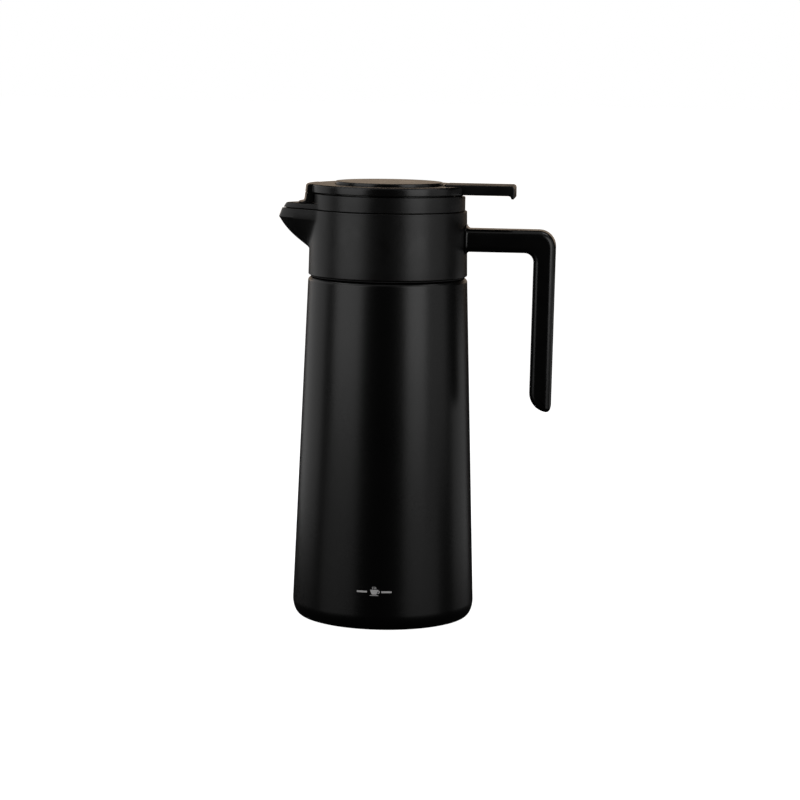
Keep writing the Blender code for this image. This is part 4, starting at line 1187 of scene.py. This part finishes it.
# ------------------------------------------------------------------ lid
@dataclass(frozen=True)
class Lid:
    """The lid: skirt and spout cover, cap, plate, and what is fixed to them."""

    beak: Beak = Beak()
    low_z: float = 233.8 * MM
    floor: float = 2.3 * MM
    skirt_radius: float = 43.4 * MM
    skirt_height: float = 8.6 * MM
    skirt_wall: float = 2.4 * MM
    chin_reach: float = 60.2 * MM
    chin_height: float = 2.7 * MM
    chin_spread: float = 28.0
    chin_slope: float = 1.7 * MM
    column_reach: float = 48.0 * MM
    column_width: float = 29.4 * MM
    column_fillet: float = 3.2 * MM
    edge: float = 0.6 * MM
    cap_radius: float = 44.6 * MM
    cap_reach: float = 47.0 * MM
    cap_height: float = 4.6 * MM
    cap_edge: float = 1.0 * MM
    shadow: float = 0.7 * MM
    spigot_drop: float = 3.8 * MM
    plate_radius: float = 30.7 * MM
    plate_sink: float = 1.2 * MM
    plate_rim: float = 2.8 * MM
    plate_dome: float = 0.1 * MM
    grommet_radius: float = 4.3 * MM
    pivot_x: float = 35.5 * MM
    pivot_z: float = 240.1 * MM
    lever_half: float = 14.2 * MM
    notch_x: float = 31.3 * MM
    notch_dip: float = 1.1 * MM
    post_half: float = 2.7 * MM
    post_span: tuple[float, float] = (11.4 * MM, 14.0 * MM)
    post_height: float = 6.2 * MM
    pin_hole: float = 1.3 * MM
    pin_half: float = 13.9 * MM
    screw_hole: float = 1.6 * MM
    web: float = 1.4 * MM
    web_opening: float = 6.0 * MM
    spigot_wall: float = 2.0 * MM
    plate_shoulder: float = 2.5 * MM
    seal_radius: float = 40.1 * MM
    seal_wall: float = 2.0 * MM
    seal_height: float = 2.4 * MM
    screw_circle: float = 28.6 * MM
    screw_angles: tuple[float, ...] = (60.0, 130.0, -130.0, -60.0)

    @property
    def floor_z(self) -> float:
        """Height of the floor inside the lid."""
        return self.low_z + self.floor

    @property
    def cap_z(self) -> float:
        """Height of the cap's underside."""
        return self.low_z + self.skirt_height + self.shadow

    @property
    def top_z(self) -> float:
        """Height of the cap's rim."""
        return self.cap_z + self.cap_height

    def screw_places(self) -> list[tuple[float, float]]:
        """Where the four lid screws stand."""
        return [(self.screw_circle * math.cos(math.radians(angle)),
                 self.screw_circle * math.sin(math.radians(angle)))
                for angle in self.screw_angles]

    def build_body(self) -> bpy.types.Object:
        """Mould the skirt, the floor and the cover over the spout."""
        cover = self.low_z + self.chin_height
        skirt_top = self.low_z + self.skirt_height
        wall = self.skirt_radius - self.skirt_wall
        hole = self.grommet_radius + FINE_GAP
        stations = eased([
            level(hole, self.low_z), level(40.0 * MM, self.low_z),
            beaked(self.skirt_radius, self.low_z, self.chin_reach, self.chin_spread,
                   0.5 * self.edge),
            beaked(self.skirt_radius, cover - self.chin_slope, self.chin_reach - self.edge,
                   self.chin_spread, 0.6 * MM),
            beaked(self.skirt_radius, cover, self.chin_reach - self.chin_slope,
                   self.chin_spread, 1.0 * MM),
            level(self.skirt_radius, cover + GAP, 0.25 * MM),
            level(self.skirt_radius, skirt_top, self.edge), level(wall, skirt_top, 0.3 * MM),
            level(wall, self.floor_z, 0.8 * MM), level(hole, self.floor_z)], closed=False)
        body = self.beak.loft("lid_moulding", stations)
        posts = []
        for side in (-1.0, 1.0):
            low, high = sorted(side * place for place in self.post_span)
            posts.append(block("post", (self.pivot_x - self.post_half, low, self.floor_z - GAP),
                               (self.pivot_x + self.post_half, high,
                                self.floor_z + self.post_height), 0.4 * MM))
        combine(body, posts, "UNION")
        cuts = [bar("pin_space", self.pin_hole, (self.pivot_x, -self.pin_half, self.pivot_z),
                    (self.pivot_x, self.pin_half, self.pivot_z)),
                block("lever_dip", (38.5 * MM, -self.lever_half, skirt_top - self.notch_dip),
                      (44.5 * MM, self.lever_half, skirt_top + self.notch_dip))]
        cuts += [bar("screw_hole", self.screw_hole, (x, y, self.low_z - MM),
                     (x, y, self.floor_z + MM))
                 for x, y in self.screw_places()]
        combine(body, cuts, "DIFFERENCE")
        return body

    def build_upright(self) -> bpy.types.Object:
        """Mould the cap's front, which comes down over the spout's cover."""
        low = self.low_z + self.chin_height + 2.0 * GAP
        inner = self.skirt_radius + GAP
        overlap = inner - 4.0 * MM
        top = self.top_z - 0.03 * MM
        spread = self.column_reach + self.column_fillet
        section = eased([(inner, low, 0.3 * MM), (spread, low, 0.1 * MM),
                         (spread, low + 0.4 * MM, 0.1 * MM),
                         (self.column_reach, low + 0.6 * MM, self.column_fillet - 0.4 * MM),
                         (self.cap_reach, top, 1.5 * self.cap_edge),
                         (overlap, top, 0.0), (overlap, self.cap_z + self.edge, 0.0),
                         (inner, self.cap_z + self.edge, 0.0)])
        upright = turned("upright", section, sides=320)
        half = self.column_width / 2.0
        width = block("width", (-spread - MM, -half, low - MM), (0.0, half, self.top_z + MM))
        combine(upright, [width], "INTERSECT")
        reach = self.chin_reach - self.chin_slope
        outline = self.beak.loft("outline", eased([
            level(self.grommet_radius, low - MM),
            beaked(self.skirt_radius, low - MM, reach, self.chin_spread),
            beaked(self.skirt_radius, self.top_z + MM, reach, self.chin_spread),
            level(self.grommet_radius, self.top_z + MM)]))
        combine(upright, [outline], "INTERSECT")
        soften(upright, 0.6 * MM, 4)
        line = turned("line", [(self.cap_reach - 0.1 * MM, self.cap_z - 0.7 * MM),
                               (spread, self.cap_z - 0.7 * MM), (spread, self.cap_z),
                               (self.cap_reach - 0.1 * MM, self.cap_z)], sides=320)
        combine(upright, [line], "DIFFERENCE")
        return upright

    def build_cap(self) -> bpy.types.Object:
        """Mould the cap with its spigot and upright, and notch it for the lever."""
        plate_z = self.top_z - self.plate_sink
        web_z = plate_z - self.web
        spigot = self.skirt_radius - self.skirt_wall - GAP
        low = self.cap_z - self.spigot_drop
        corners = [(self.web_opening, web_z, 0.0), (spigot - self.spigot_wall, web_z, 0.6 * MM),
                   (spigot - self.spigot_wall, low, 0.3 * MM), (spigot, low, 0.4 * MM),
                   (spigot, self.cap_z, 0.2 * MM), (self.cap_radius, self.cap_z, 0.5 * MM),
                   (self.cap_radius, self.top_z, 1.5 * self.cap_edge),
                   (self.plate_radius + GAP, self.top_z, 0.25 * MM),
                   (self.plate_radius + GAP, plate_z - GAP, 0.2 * MM),
                   (self.web_opening, plate_z - GAP, 0.0)]
        cap = turned("lid_cap_moulding", eased(corners, closed=False, steps=6), closed=False,
                     sides=320)
        combine(cap, [self.build_upright()], "UNION")
        notch = block("lever_notch", (self.notch_x, -self.lever_half, self.floor_z),
                      (self.cap_radius + MM, self.lever_half, self.top_z + MM))
        combine(cap, [notch], "DIFFERENCE")
        return cap

    def build_plate(self) -> bpy.types.Object:
        """Mould the plate let into the cap, which is barely domed."""
        low = self.top_z - self.plate_sink
        rim = low + self.plate_rim
        flat = self.plate_radius - self.plate_shoulder
        section = eased([(self.web_opening, low, 0.0), (self.plate_radius, low, 0.1 * MM),
                         (self.plate_radius, rim, 0.9 * MM),
                         (flat, rim + 0.15 * self.plate_dome, 0.6 * MM)], closed=False)
        steps = 24
        for index in range(1, steps):
            radius = flat * (1.0 - index / steps)
            fall = 0.85 * self.plate_dome * (radius / self.plate_radius) ** 2
            section.append((radius, rim + self.plate_dome - fall))
        return turned("lid_plate_moulding", section, closed=False, sides=200)

    def build_rim_seal(self) -> bpy.types.Object:
        """Mould the soft ring under the lid."""
        outer, high = self.seal_radius, self.low_z - GAP
        inner, low = outer - self.seal_wall, high - self.seal_height
        section = eased([(inner, low, 0.4 * MM), (outer, low, 0.8 * MM),
                         (outer, high - 1.6 * MM, 0.2 * MM),
                         (outer - 0.5 * MM, high - 1.2 * MM, 0.2 * MM),
                         (outer, high - 0.8 * MM, 0.2 * MM), (outer, high, 0.4 * MM),
                         (inner, high, 0.3 * MM)])
        return turned("splash_ring", section)

    def build(self, finishes: Finishes) -> None:
        """Build and dress the lid."""
        dress(self.build_body(), "lid", ["lid_body"], finishes.plastic)
        dress(self.build_cap(), "lid", ["lid_cap"], finishes.cap)
        dress(self.build_plate(), "lid", ["lid_plate"], finishes.plate)
        dress(self.build_rim_seal(), "lid", ["rim_seal"], finishes.silicone)
        screw = Screw(shank_radius=1.3 * MM, head_radius=2.6 * MM, head_height=1.6 * MM,
                      length=9.0 * MM, pitch=0.9 * MM)
        for index, (x, y) in enumerate(self.screw_places(), start=1):
            made = screw.build(f"plug_fixing_{index}")
            moved(made, Matrix.Translation((x, y, self.floor_z + GAP)))
            dress(made, "lid", [f"lid_screw_{index}"], finishes.wire)
        recoat(["stem_grommet"], finishes.silicone)
        recoat(["lever_pin"], finishes.wire)


# ------------------------------------------------------------------ stopper and valve
@dataclass(frozen=True)
class Stopper:
    """The screw-in plug, its seal, and the sprung valve inside it."""

    lid: Lid
    radius: float = 34.6 * MM
    bottom_z: float = 199.9 * MM
    wall: float = 3.4 * MM
    floor: float = 2.0 * MM
    port_radius: float = 8.5 * MM
    flange: float = 2.6 * MM
    flange_height: float = 2.4 * MM
    crest: float = 35.9 * MM
    thread_z: float = 213.277 * MM
    thread_pitch: float = 2.7 * MM
    thread_turns: float = 1.35
    groove: float = 1.4 * MM
    seal_z: float = 202.2 * MM
    seal_height: float = 4.0 * MM
    valve_z: float = 203.7 * MM
    lip_radius: float = 35.1 * MM
    boss_radius: float = 3.4 * MM
    boss_height: float = 12.0 * MM
    boss_bore: float = 7.5 * MM
    window_half: float = 12.0 * MM
    window_height: float = 9.6 * MM
    valve_radius: float = 12.5 * MM
    valve_thickness: float = 2.2 * MM
    stem_radius: float = 2.0 * MM
    washer_height: float = 1.2 * MM
    washer_width: float = 3.4 * MM
    stem_top: float = 240.7 * MM
    spring_radius: float = 5.6 * MM
    wire: float = 0.5 * MM
    turns: int = 7
    travel: float = 4.2 * MM

    @property
    def top_z(self) -> float:
        """Height of the plug's flange."""
        return self.lid.low_z - GAP

    @property
    def disc_z(self) -> float:
        """Height of the valve disc's top."""
        return self.valve_z + self.valve_thickness

    def build_thread(self) -> bpy.types.Object:
        """Wind the plug's thread, a ridge that fades in and out."""
        builder = bmesh.new()
        sides = 96
        count = round(self.thread_turns * sides)
        rings = []
        for index in range(count + 1):
            angle = math.tau * index / sides
            fade = min(1.0, 6.0 * index / count, 6.0 * (count - index) / count)
            outer = self.radius + (self.crest - self.radius) * fade
            z = self.thread_z + self.thread_pitch * index / sides
            ring = []
            for radius, lift in ((self.radius - 0.6 * MM, -0.9 * MM), (outer, -0.35 * MM),
                                 (outer, 0.35 * MM), (self.radius - 0.6 * MM, 0.9 * MM)):
                ring.append(builder.verts.new((radius * math.cos(angle),
                                               radius * math.sin(angle), z + lift)))
            rings.append(ring)
        skin(builder, rings, False)
        return finished("thread", builder)

    def build_plug(self) -> bpy.types.Object:
        """Mould the plug with its thread, bosses, pouring window and valve seat."""
        low, high = self.bottom_z, self.top_z
        bore = self.radius - self.wall
        seal_low, seal_high = self.seal_z - GAP, self.seal_z + self.seal_height + GAP
        flange_z = high - self.flange_height
        corners = [(self.port_radius, low, 0.4 * MM), (self.radius, low, 0.6 * MM),
                   (self.radius, seal_low, 0.2 * MM),
                   (self.radius - self.groove, seal_low, 0.1 * MM),
                   (self.radius - self.groove, seal_high, 0.1 * MM),
                   (self.radius, seal_high, 0.2 * MM), (self.radius, flange_z, 0.5 * MM),
                   (self.radius + self.flange, flange_z, 0.4 * MM),
                   (self.radius + self.flange, high, 0.3 * MM), (bore, high, 0.4 * MM),
                   (bore, low + self.floor, 1.2 * MM),
                   (self.port_radius + 1.2 * MM, low + self.floor, 0.3 * MM),
                   (self.port_radius, low + self.floor - 0.2 * MM, 0.2 * MM)]
        plug = turned("plug_moulding", eased(corners, steps=3), sides=128)
        bosses = [bar("boss", self.boss_radius, (x, y, high - self.boss_height), (x, y, high))
                  for x, y in self.lid.screw_places()]
        combine(plug, [self.build_thread(), *bosses], "UNION")
        cuts = [bar("boss_hole", self.lid.screw_hole, (x, y, high - self.boss_bore),
                    (x, y, high + MM))
                for x, y in self.lid.screw_places()]
        cuts.append(block("window", (-38.0 * MM, -self.window_half,
                                     flange_z - self.window_height),
                          (-25.2 * MM, self.window_half, flange_z - GAP), 1.2 * MM))
        combine(plug, cuts, "DIFFERENCE")
        return plug

    def build_seal(self) -> bpy.types.Object:
        """Mould the ring that closes the flask's mouth, with two soft lips."""
        inner, outer = self.radius - self.groove + GAP, self.lip_radius
        low, high = self.seal_z, self.seal_z + self.seal_height
        middle = (low + high) / 2.0
        corners = [(inner, low, 0.2 * MM), (self.radius, low, 0.3 * MM),
                   (outer, low + 0.7 * MM, 0.35 * MM), (self.radius, middle, 0.35 * MM),
                   (outer, high - 0.7 * MM, 0.35 * MM), (self.radius, high, 0.3 * MM),
                   (inner, high, 0.2 * MM)]
        return turned("mouth_seal", eased(corners))

    def build_valve(self) -> bpy.types.Object:
        """Turn the valve's disc and stem."""
        top = self.disc_z
        stem = self.stem_radius
        corners = [(0.4 * stem, self.valve_z, 0.0), (self.valve_radius, self.valve_z, 0.3 * MM),
                   (self.valve_radius, top, 0.7 * MM), (2.2 * stem, top, 1.0 * MM),
                   (stem, top + 1.6 * MM, 1.0 * MM), (stem, self.stem_top, 0.4 * MM),
                   (0.4 * stem, self.stem_top, 0.0)]
        return turned("valve_disc", eased(corners, closed=False), closed=False, sides=96)

    def build_valve_seal(self) -> bpy.types.Object:
        """Mould the soft ring under the valve."""
        high = self.valve_z - GAP
        low = high - self.washer_height
        inner = self.valve_radius - self.washer_width
        corners = [(inner, low + 0.4 * MM, 0.3 * MM), (inner + 1.2 * MM, low, 0.5 * MM),
                   (self.valve_radius - 0.6 * MM, low, 0.4 * MM),
                   (self.valve_radius, high, 0.3 * MM), (inner, high, 0.2 * MM)]
        return turned("valve_washer", eased(corners), sides=96)

    def build_spring(self) -> bpy.types.Object:
        """Wind the return spring, its end coils closed up."""
        builder = bmesh.new()
        low = self.disc_z + GAP + self.wire
        high = self.top_z - self.wire
        per_turn, sides = 48, 12
        count = self.turns * per_turn
        rings = []
        for index in range(count + 1):
            share = index / count
            angle = math.tau * index / per_turn
            flat = 0.9 / self.turns
            rise = min(1.0, max(0.0, (share - flat) / (1.0 - 2.0 * flat)))
            z = low + (high - low) * (0.88 * rise + 0.12 * share)
            out = Vector((math.cos(angle), math.sin(angle), 0.0))
            centre = out * self.spring_radius + Vector((0.0, 0.0, z))
            ring = []
            for side in range(sides):
                turn = math.tau * side / sides
                offset = out * math.cos(turn) + Vector((0.0, 0.0, math.sin(turn)))
                ring.append(builder.verts.new(centre + offset * self.wire))
            rings.append(ring)
        skin(builder, rings, False)
        return finished("valve_spring", builder, 60.0)

    def build(self, finishes: Finishes) -> None:
        """Build and dress the plug, its seal, the valve and the spring."""
        dress(self.build_plug(), "lid", ["plug"], finishes.plastic)
        dress(self.build_seal(), "seal_ring", ["stopper_seal"],
              finishes.silicone)
        dress(self.build_valve(), "valve", ["valve"], finishes.plastic)
        dress(self.build_valve_seal(), "valve", ["valve_seal"],
              finishes.silicone)
        spring = dress(self.build_spring(), "lid", ["return_spring"],
                       finishes.wire)
        anchor = self.top_z
        length = anchor - (self.disc_z + GAP)
        1.0 - self.travel / length
        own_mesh(spring)
        recoat(["stem_nut"], finishes.wire)


# ------------------------------------------------------------------ lever
@dataclass(frozen=True)
class Lever:
    """The thumb lever: tab, ears on the pin, and the fork under the valve's nut."""

    lid: Lid
    start: float = 33.0 * MM
    reach: float = 71.7 * MM
    width: float = 27.6 * MM
    thickness: float = 5.6 * MM
    proud: float = 0.9 * MM
    lip: float = 1.7 * MM
    lip_drop: float = 1.8 * MM
    lip_edge: float = 0.7 * MM
    corner: float = 1.8 * MM
    fillet: float = 1.7 * MM
    edge: float = 0.6 * MM
    arm_z: float = 237.2 * MM
    arm_top: float = 238.8 * MM
    arm_half: float = 5.0 * MM
    arm_end: float = 3.6 * MM
    yoke_half: float = 10.7 * MM
    yoke_inset: float = 0.15 * MM
    ear_span: tuple[float, float] = (7.5 * MM, 11.0 * MM)
    fork_gap: float = 2.6 * MM
    fork_reach: float = 2.9 * MM

    def build_lever(self) -> bpy.types.Object:
        """Mould the lever."""
        top = self.lid.top_z + self.proud
        low = top - self.thickness
        inner = self.reach - self.lip
        outline = [(self.start, top, 0.6 * MM), (self.start, low, 0.4 * MM),
                   (inner, low, self.fillet), (inner, low - self.lip_drop, self.lip_edge),
                   (self.reach, low - self.lip_drop, self.lip_edge),
                   (self.reach, top, self.corner)]
        lever = pillowed("thumb_lever", outline, self.width, self.edge, steps=6)
        back = self.lid.pivot_x - self.lid.post_half
        front = self.lid.pivot_x + self.lid.post_half
        joined = [block("yoke", (back, -self.yoke_half, self.arm_z + self.yoke_inset),
                        (front - GAP, self.yoke_half, self.arm_top - self.yoke_inset), 0.2 * MM),
                  block("arm", (-self.arm_end, -self.arm_half, self.arm_z),
                        (front - 0.6 * MM, self.arm_half, self.arm_top), 0.3 * MM)]
        for side in (-1.0, 1.0):
            near, far = sorted(side * place for place in self.ear_span)
            joined.append(block("ear", (back, near, self.arm_z), (front, far, low + GAP),
                                0.4 * MM))
        combine(lever, joined, "UNION")
        cuts = [block("fork_gap", (-2.0 * self.arm_end, -self.fork_gap, self.arm_z - MM),
                      (self.fork_reach, self.fork_gap, self.arm_top + MM)),
                bar("pin_hole", self.lid.pin_hole,
                    (self.lid.pivot_x, -self.width, self.lid.pivot_z),
                    (self.lid.pivot_x, self.width, self.lid.pivot_z))]
        combine(lever, cuts, "DIFFERENCE")
        return lever

    def build(self, finishes: Finishes) -> None:
        """Build and dress the lever."""
        dress(self.build_lever(), "lever", ["lever"], finishes.plastic)


# ------------------------------------------------------------------ studio
class Shade(Enum):
    """Colours of the studio's lights."""

    NEUTRAL = (1.0, 1.0, 1.0)
    WARM = (1.0, 0.79, 0.60)


@dataclass(frozen=True)
class Softbox:
    """A soft light that faces the server.

    Its bearing is in degrees to the right of the camera's own, its tilt in degrees
    above the table, and its radiance is that of a white card lit to paper white.
    """

    name: str
    bearing: float
    tilt: float
    distance: float
    width: float
    height: float
    radiance: float
    shade: Shade = Shade.NEUTRAL

    def build(self, camera_bearing: float, target: Vector) -> None:
        """Hang the light.

        Args:
            camera_bearing: Degrees from -Y towards +X at which the camera stands.
            target: The point that the light faces.
        """
        turn = math.radians(camera_bearing + self.bearing)
        tilt = math.radians(self.tilt)
        out = Vector((math.sin(turn) * math.cos(tilt), -math.cos(turn) * math.cos(tilt),
                      math.sin(tilt)))
        lamp = bpy.data.lights.new(self.name, "AREA")
        lamp.shape = "RECTANGLE"
        lamp.size = self.width
        lamp.size_y = self.height
        lamp.color = self.shade.value
        lamp.energy = self.radiance * math.pi * self.width * self.height
        held = bpy.data.objects.new(self.name, lamp)
        held.location = target + out * self.distance
        held.rotation_euler = out.to_track_quat("Z", "Y").to_euler()
        held.visible_camera = False
        bpy.context.scene.collection.objects.link(held)


@dataclass(frozen=True)
class Studio:
    """Camera, lights, pale floor and surroundings."""

    camera_bearing: float = 5.2
    camera_tilt: float = 7.72
    camera_roll: float = 0.92
    camera_place: Point = (139.7 * MM, -1445.8 * MM, 321.3 * MM)
    lens: float = 115.07
    floor_size: float = 30.0
    ambient: float = 0.008
    target: Point = (0.0, 0.0, 120.0 * MM)
    softboxes: tuple[Softbox, ...] = (
        Softbox("left_box", -56.0, 18.5, 1.1, 0.88, 0.95, 1.2),
        Softbox("left_low", -60.0, -14.8, 1.1, 1.0, 0.22, 0.26),
        Softbox("left_fill", -122.0, 13.0, 1.2, 1.25, 1.15, 0.5),
        Softbox("right_box", 42.0, 18.5, 1.1, 0.6, 0.95, 1.6),
        Softbox("right_low", 50.0, -14.8, 1.1, 0.95, 0.22, 0.34),
        Softbox("right_fade", 76.0, 16.0, 1.1, 0.6, 0.95, 0.45),
        Softbox("right_rim", 120.0, -8.0, 1.4, 1.0, 0.36, 0.36),
        Softbox("upper_left", -100.0, 62.0, 1.3, 0.5, 0.6, 1.9),
        Softbox("upper_right", 100.0, 62.0, 1.3, 0.4, 0.5, 1.9),
        Softbox("overhead", 0.0, 84.0, 1.3, 1.3, 1.3, 0.3),
        Softbox("far_card", 180.0, 7.6, 5.0, 8.0, 1.5, 0.48, Shade.WARM),
    )

    def build_camera(self) -> None:
        """Stand the camera at its place and make it the scene's."""
        lens = bpy.data.cameras.new("camera")
        lens.lens = self.lens
        lens.sensor_width = 36.0
        camera = bpy.data.objects.new("camera", lens)
        camera.location = self.camera_place
        turn = (Matrix.Rotation(math.radians(self.camera_bearing), 4, "Z")
                @ Matrix.Rotation(math.radians(90.0 - self.camera_tilt), 4, "X")
                @ Matrix.Rotation(math.radians(self.camera_roll), 4, "Z"))
        camera.rotation_euler = turn.to_euler()
        bpy.context.scene.collection.objects.link(camera)
        bpy.context.scene.camera = camera

    def build_floor(self) -> None:
        """Lay the pale floor."""
        builder = bmesh.new()
        bmesh.ops.create_grid(builder, x_segments=8, y_segments=8, size=self.floor_size / 2.0)
        mesh = bpy.data.meshes.new("pale_floor")
        builder.to_mesh(mesh)
        builder.free()
        floor = bpy.data.objects.new("pale_floor", mesh)
        bpy.context.scene.collection.objects.link(floor)
        graph = Graph("pale_floor")
        speckle = graph.noise(300.0)
        mesh.materials.append(graph.shade({
            "Base Color": graph.mix(speckle, (0.80, 0.80, 0.80, 1.0), (0.84, 0.84, 0.84, 1.0)),
            "Roughness": 0.9, "Specular IOR Level": 0.0,
            "Emission Color": (1.0, 1.0, 1.0, 1.0), "Emission Strength": 1.0}))
        floor.visible_glossy = False
        floor.visible_diffuse = False
        floor.visible_shadow = False

    def build_surroundings(self) -> None:
        """Make the room: white behind the server, dim where the server reflects it."""
        world = bpy.data.worlds.new("studio")
        world.use_nodes = True
        tree = world.node_tree
        back = tree.nodes["Background"]
        path = tree.nodes.new("ShaderNodeLightPath")
        seen = tree.nodes.new("ShaderNodeMix")
        seen.data_type = "RGBA"
        seen.inputs["A"].default_value = (0.0, 0.0, 0.0, 1.0)
        for socket in seen.inputs:
            if socket.identifier == "A_Color":
                socket.default_value = (self.ambient, self.ambient, self.ambient, 1.0)
            elif socket.identifier == "B_Color":
                socket.default_value = (1.0, 1.0, 1.0, 1.0)
        tree.links.new(path.outputs["Is Camera Ray"], seen.inputs["Factor"])
        result = [socket for socket in seen.outputs if socket.identifier == "Result_Color"][0]
        tree.links.new(result, back.inputs["Color"])
        bpy.context.scene.world = world

    def build(self) -> None:
        """Set up the studio."""
        self.build_camera()
        self.build_floor()
        self.build_surroundings()
        target = Vector(self.target)
        for softbox in self.softboxes:
            softbox.build(self.camera_bearing, target)
        settings = bpy.context.scene.view_settings
        settings.view_transform = "Standard"
        settings.look = "None"


def main() -> None:
    """Build the server and its studio, in order."""
    logging.basicConfig(level=logging.INFO, format="%(name)s: %(message)s")
    finishes = Finishes()
    flask = Flask()
    head = PouringHead()
    lid = Lid()
    flask.build(finishes)
    Mark(flask).build(finishes)
    head.build(finishes)
    Handle(head).build(finishes)
    lid.build(finishes)
    Stopper(lid).build(finishes)
    Lever(lid).build(finishes)
    Studio().build()


if __name__ == "__main__":
    main()
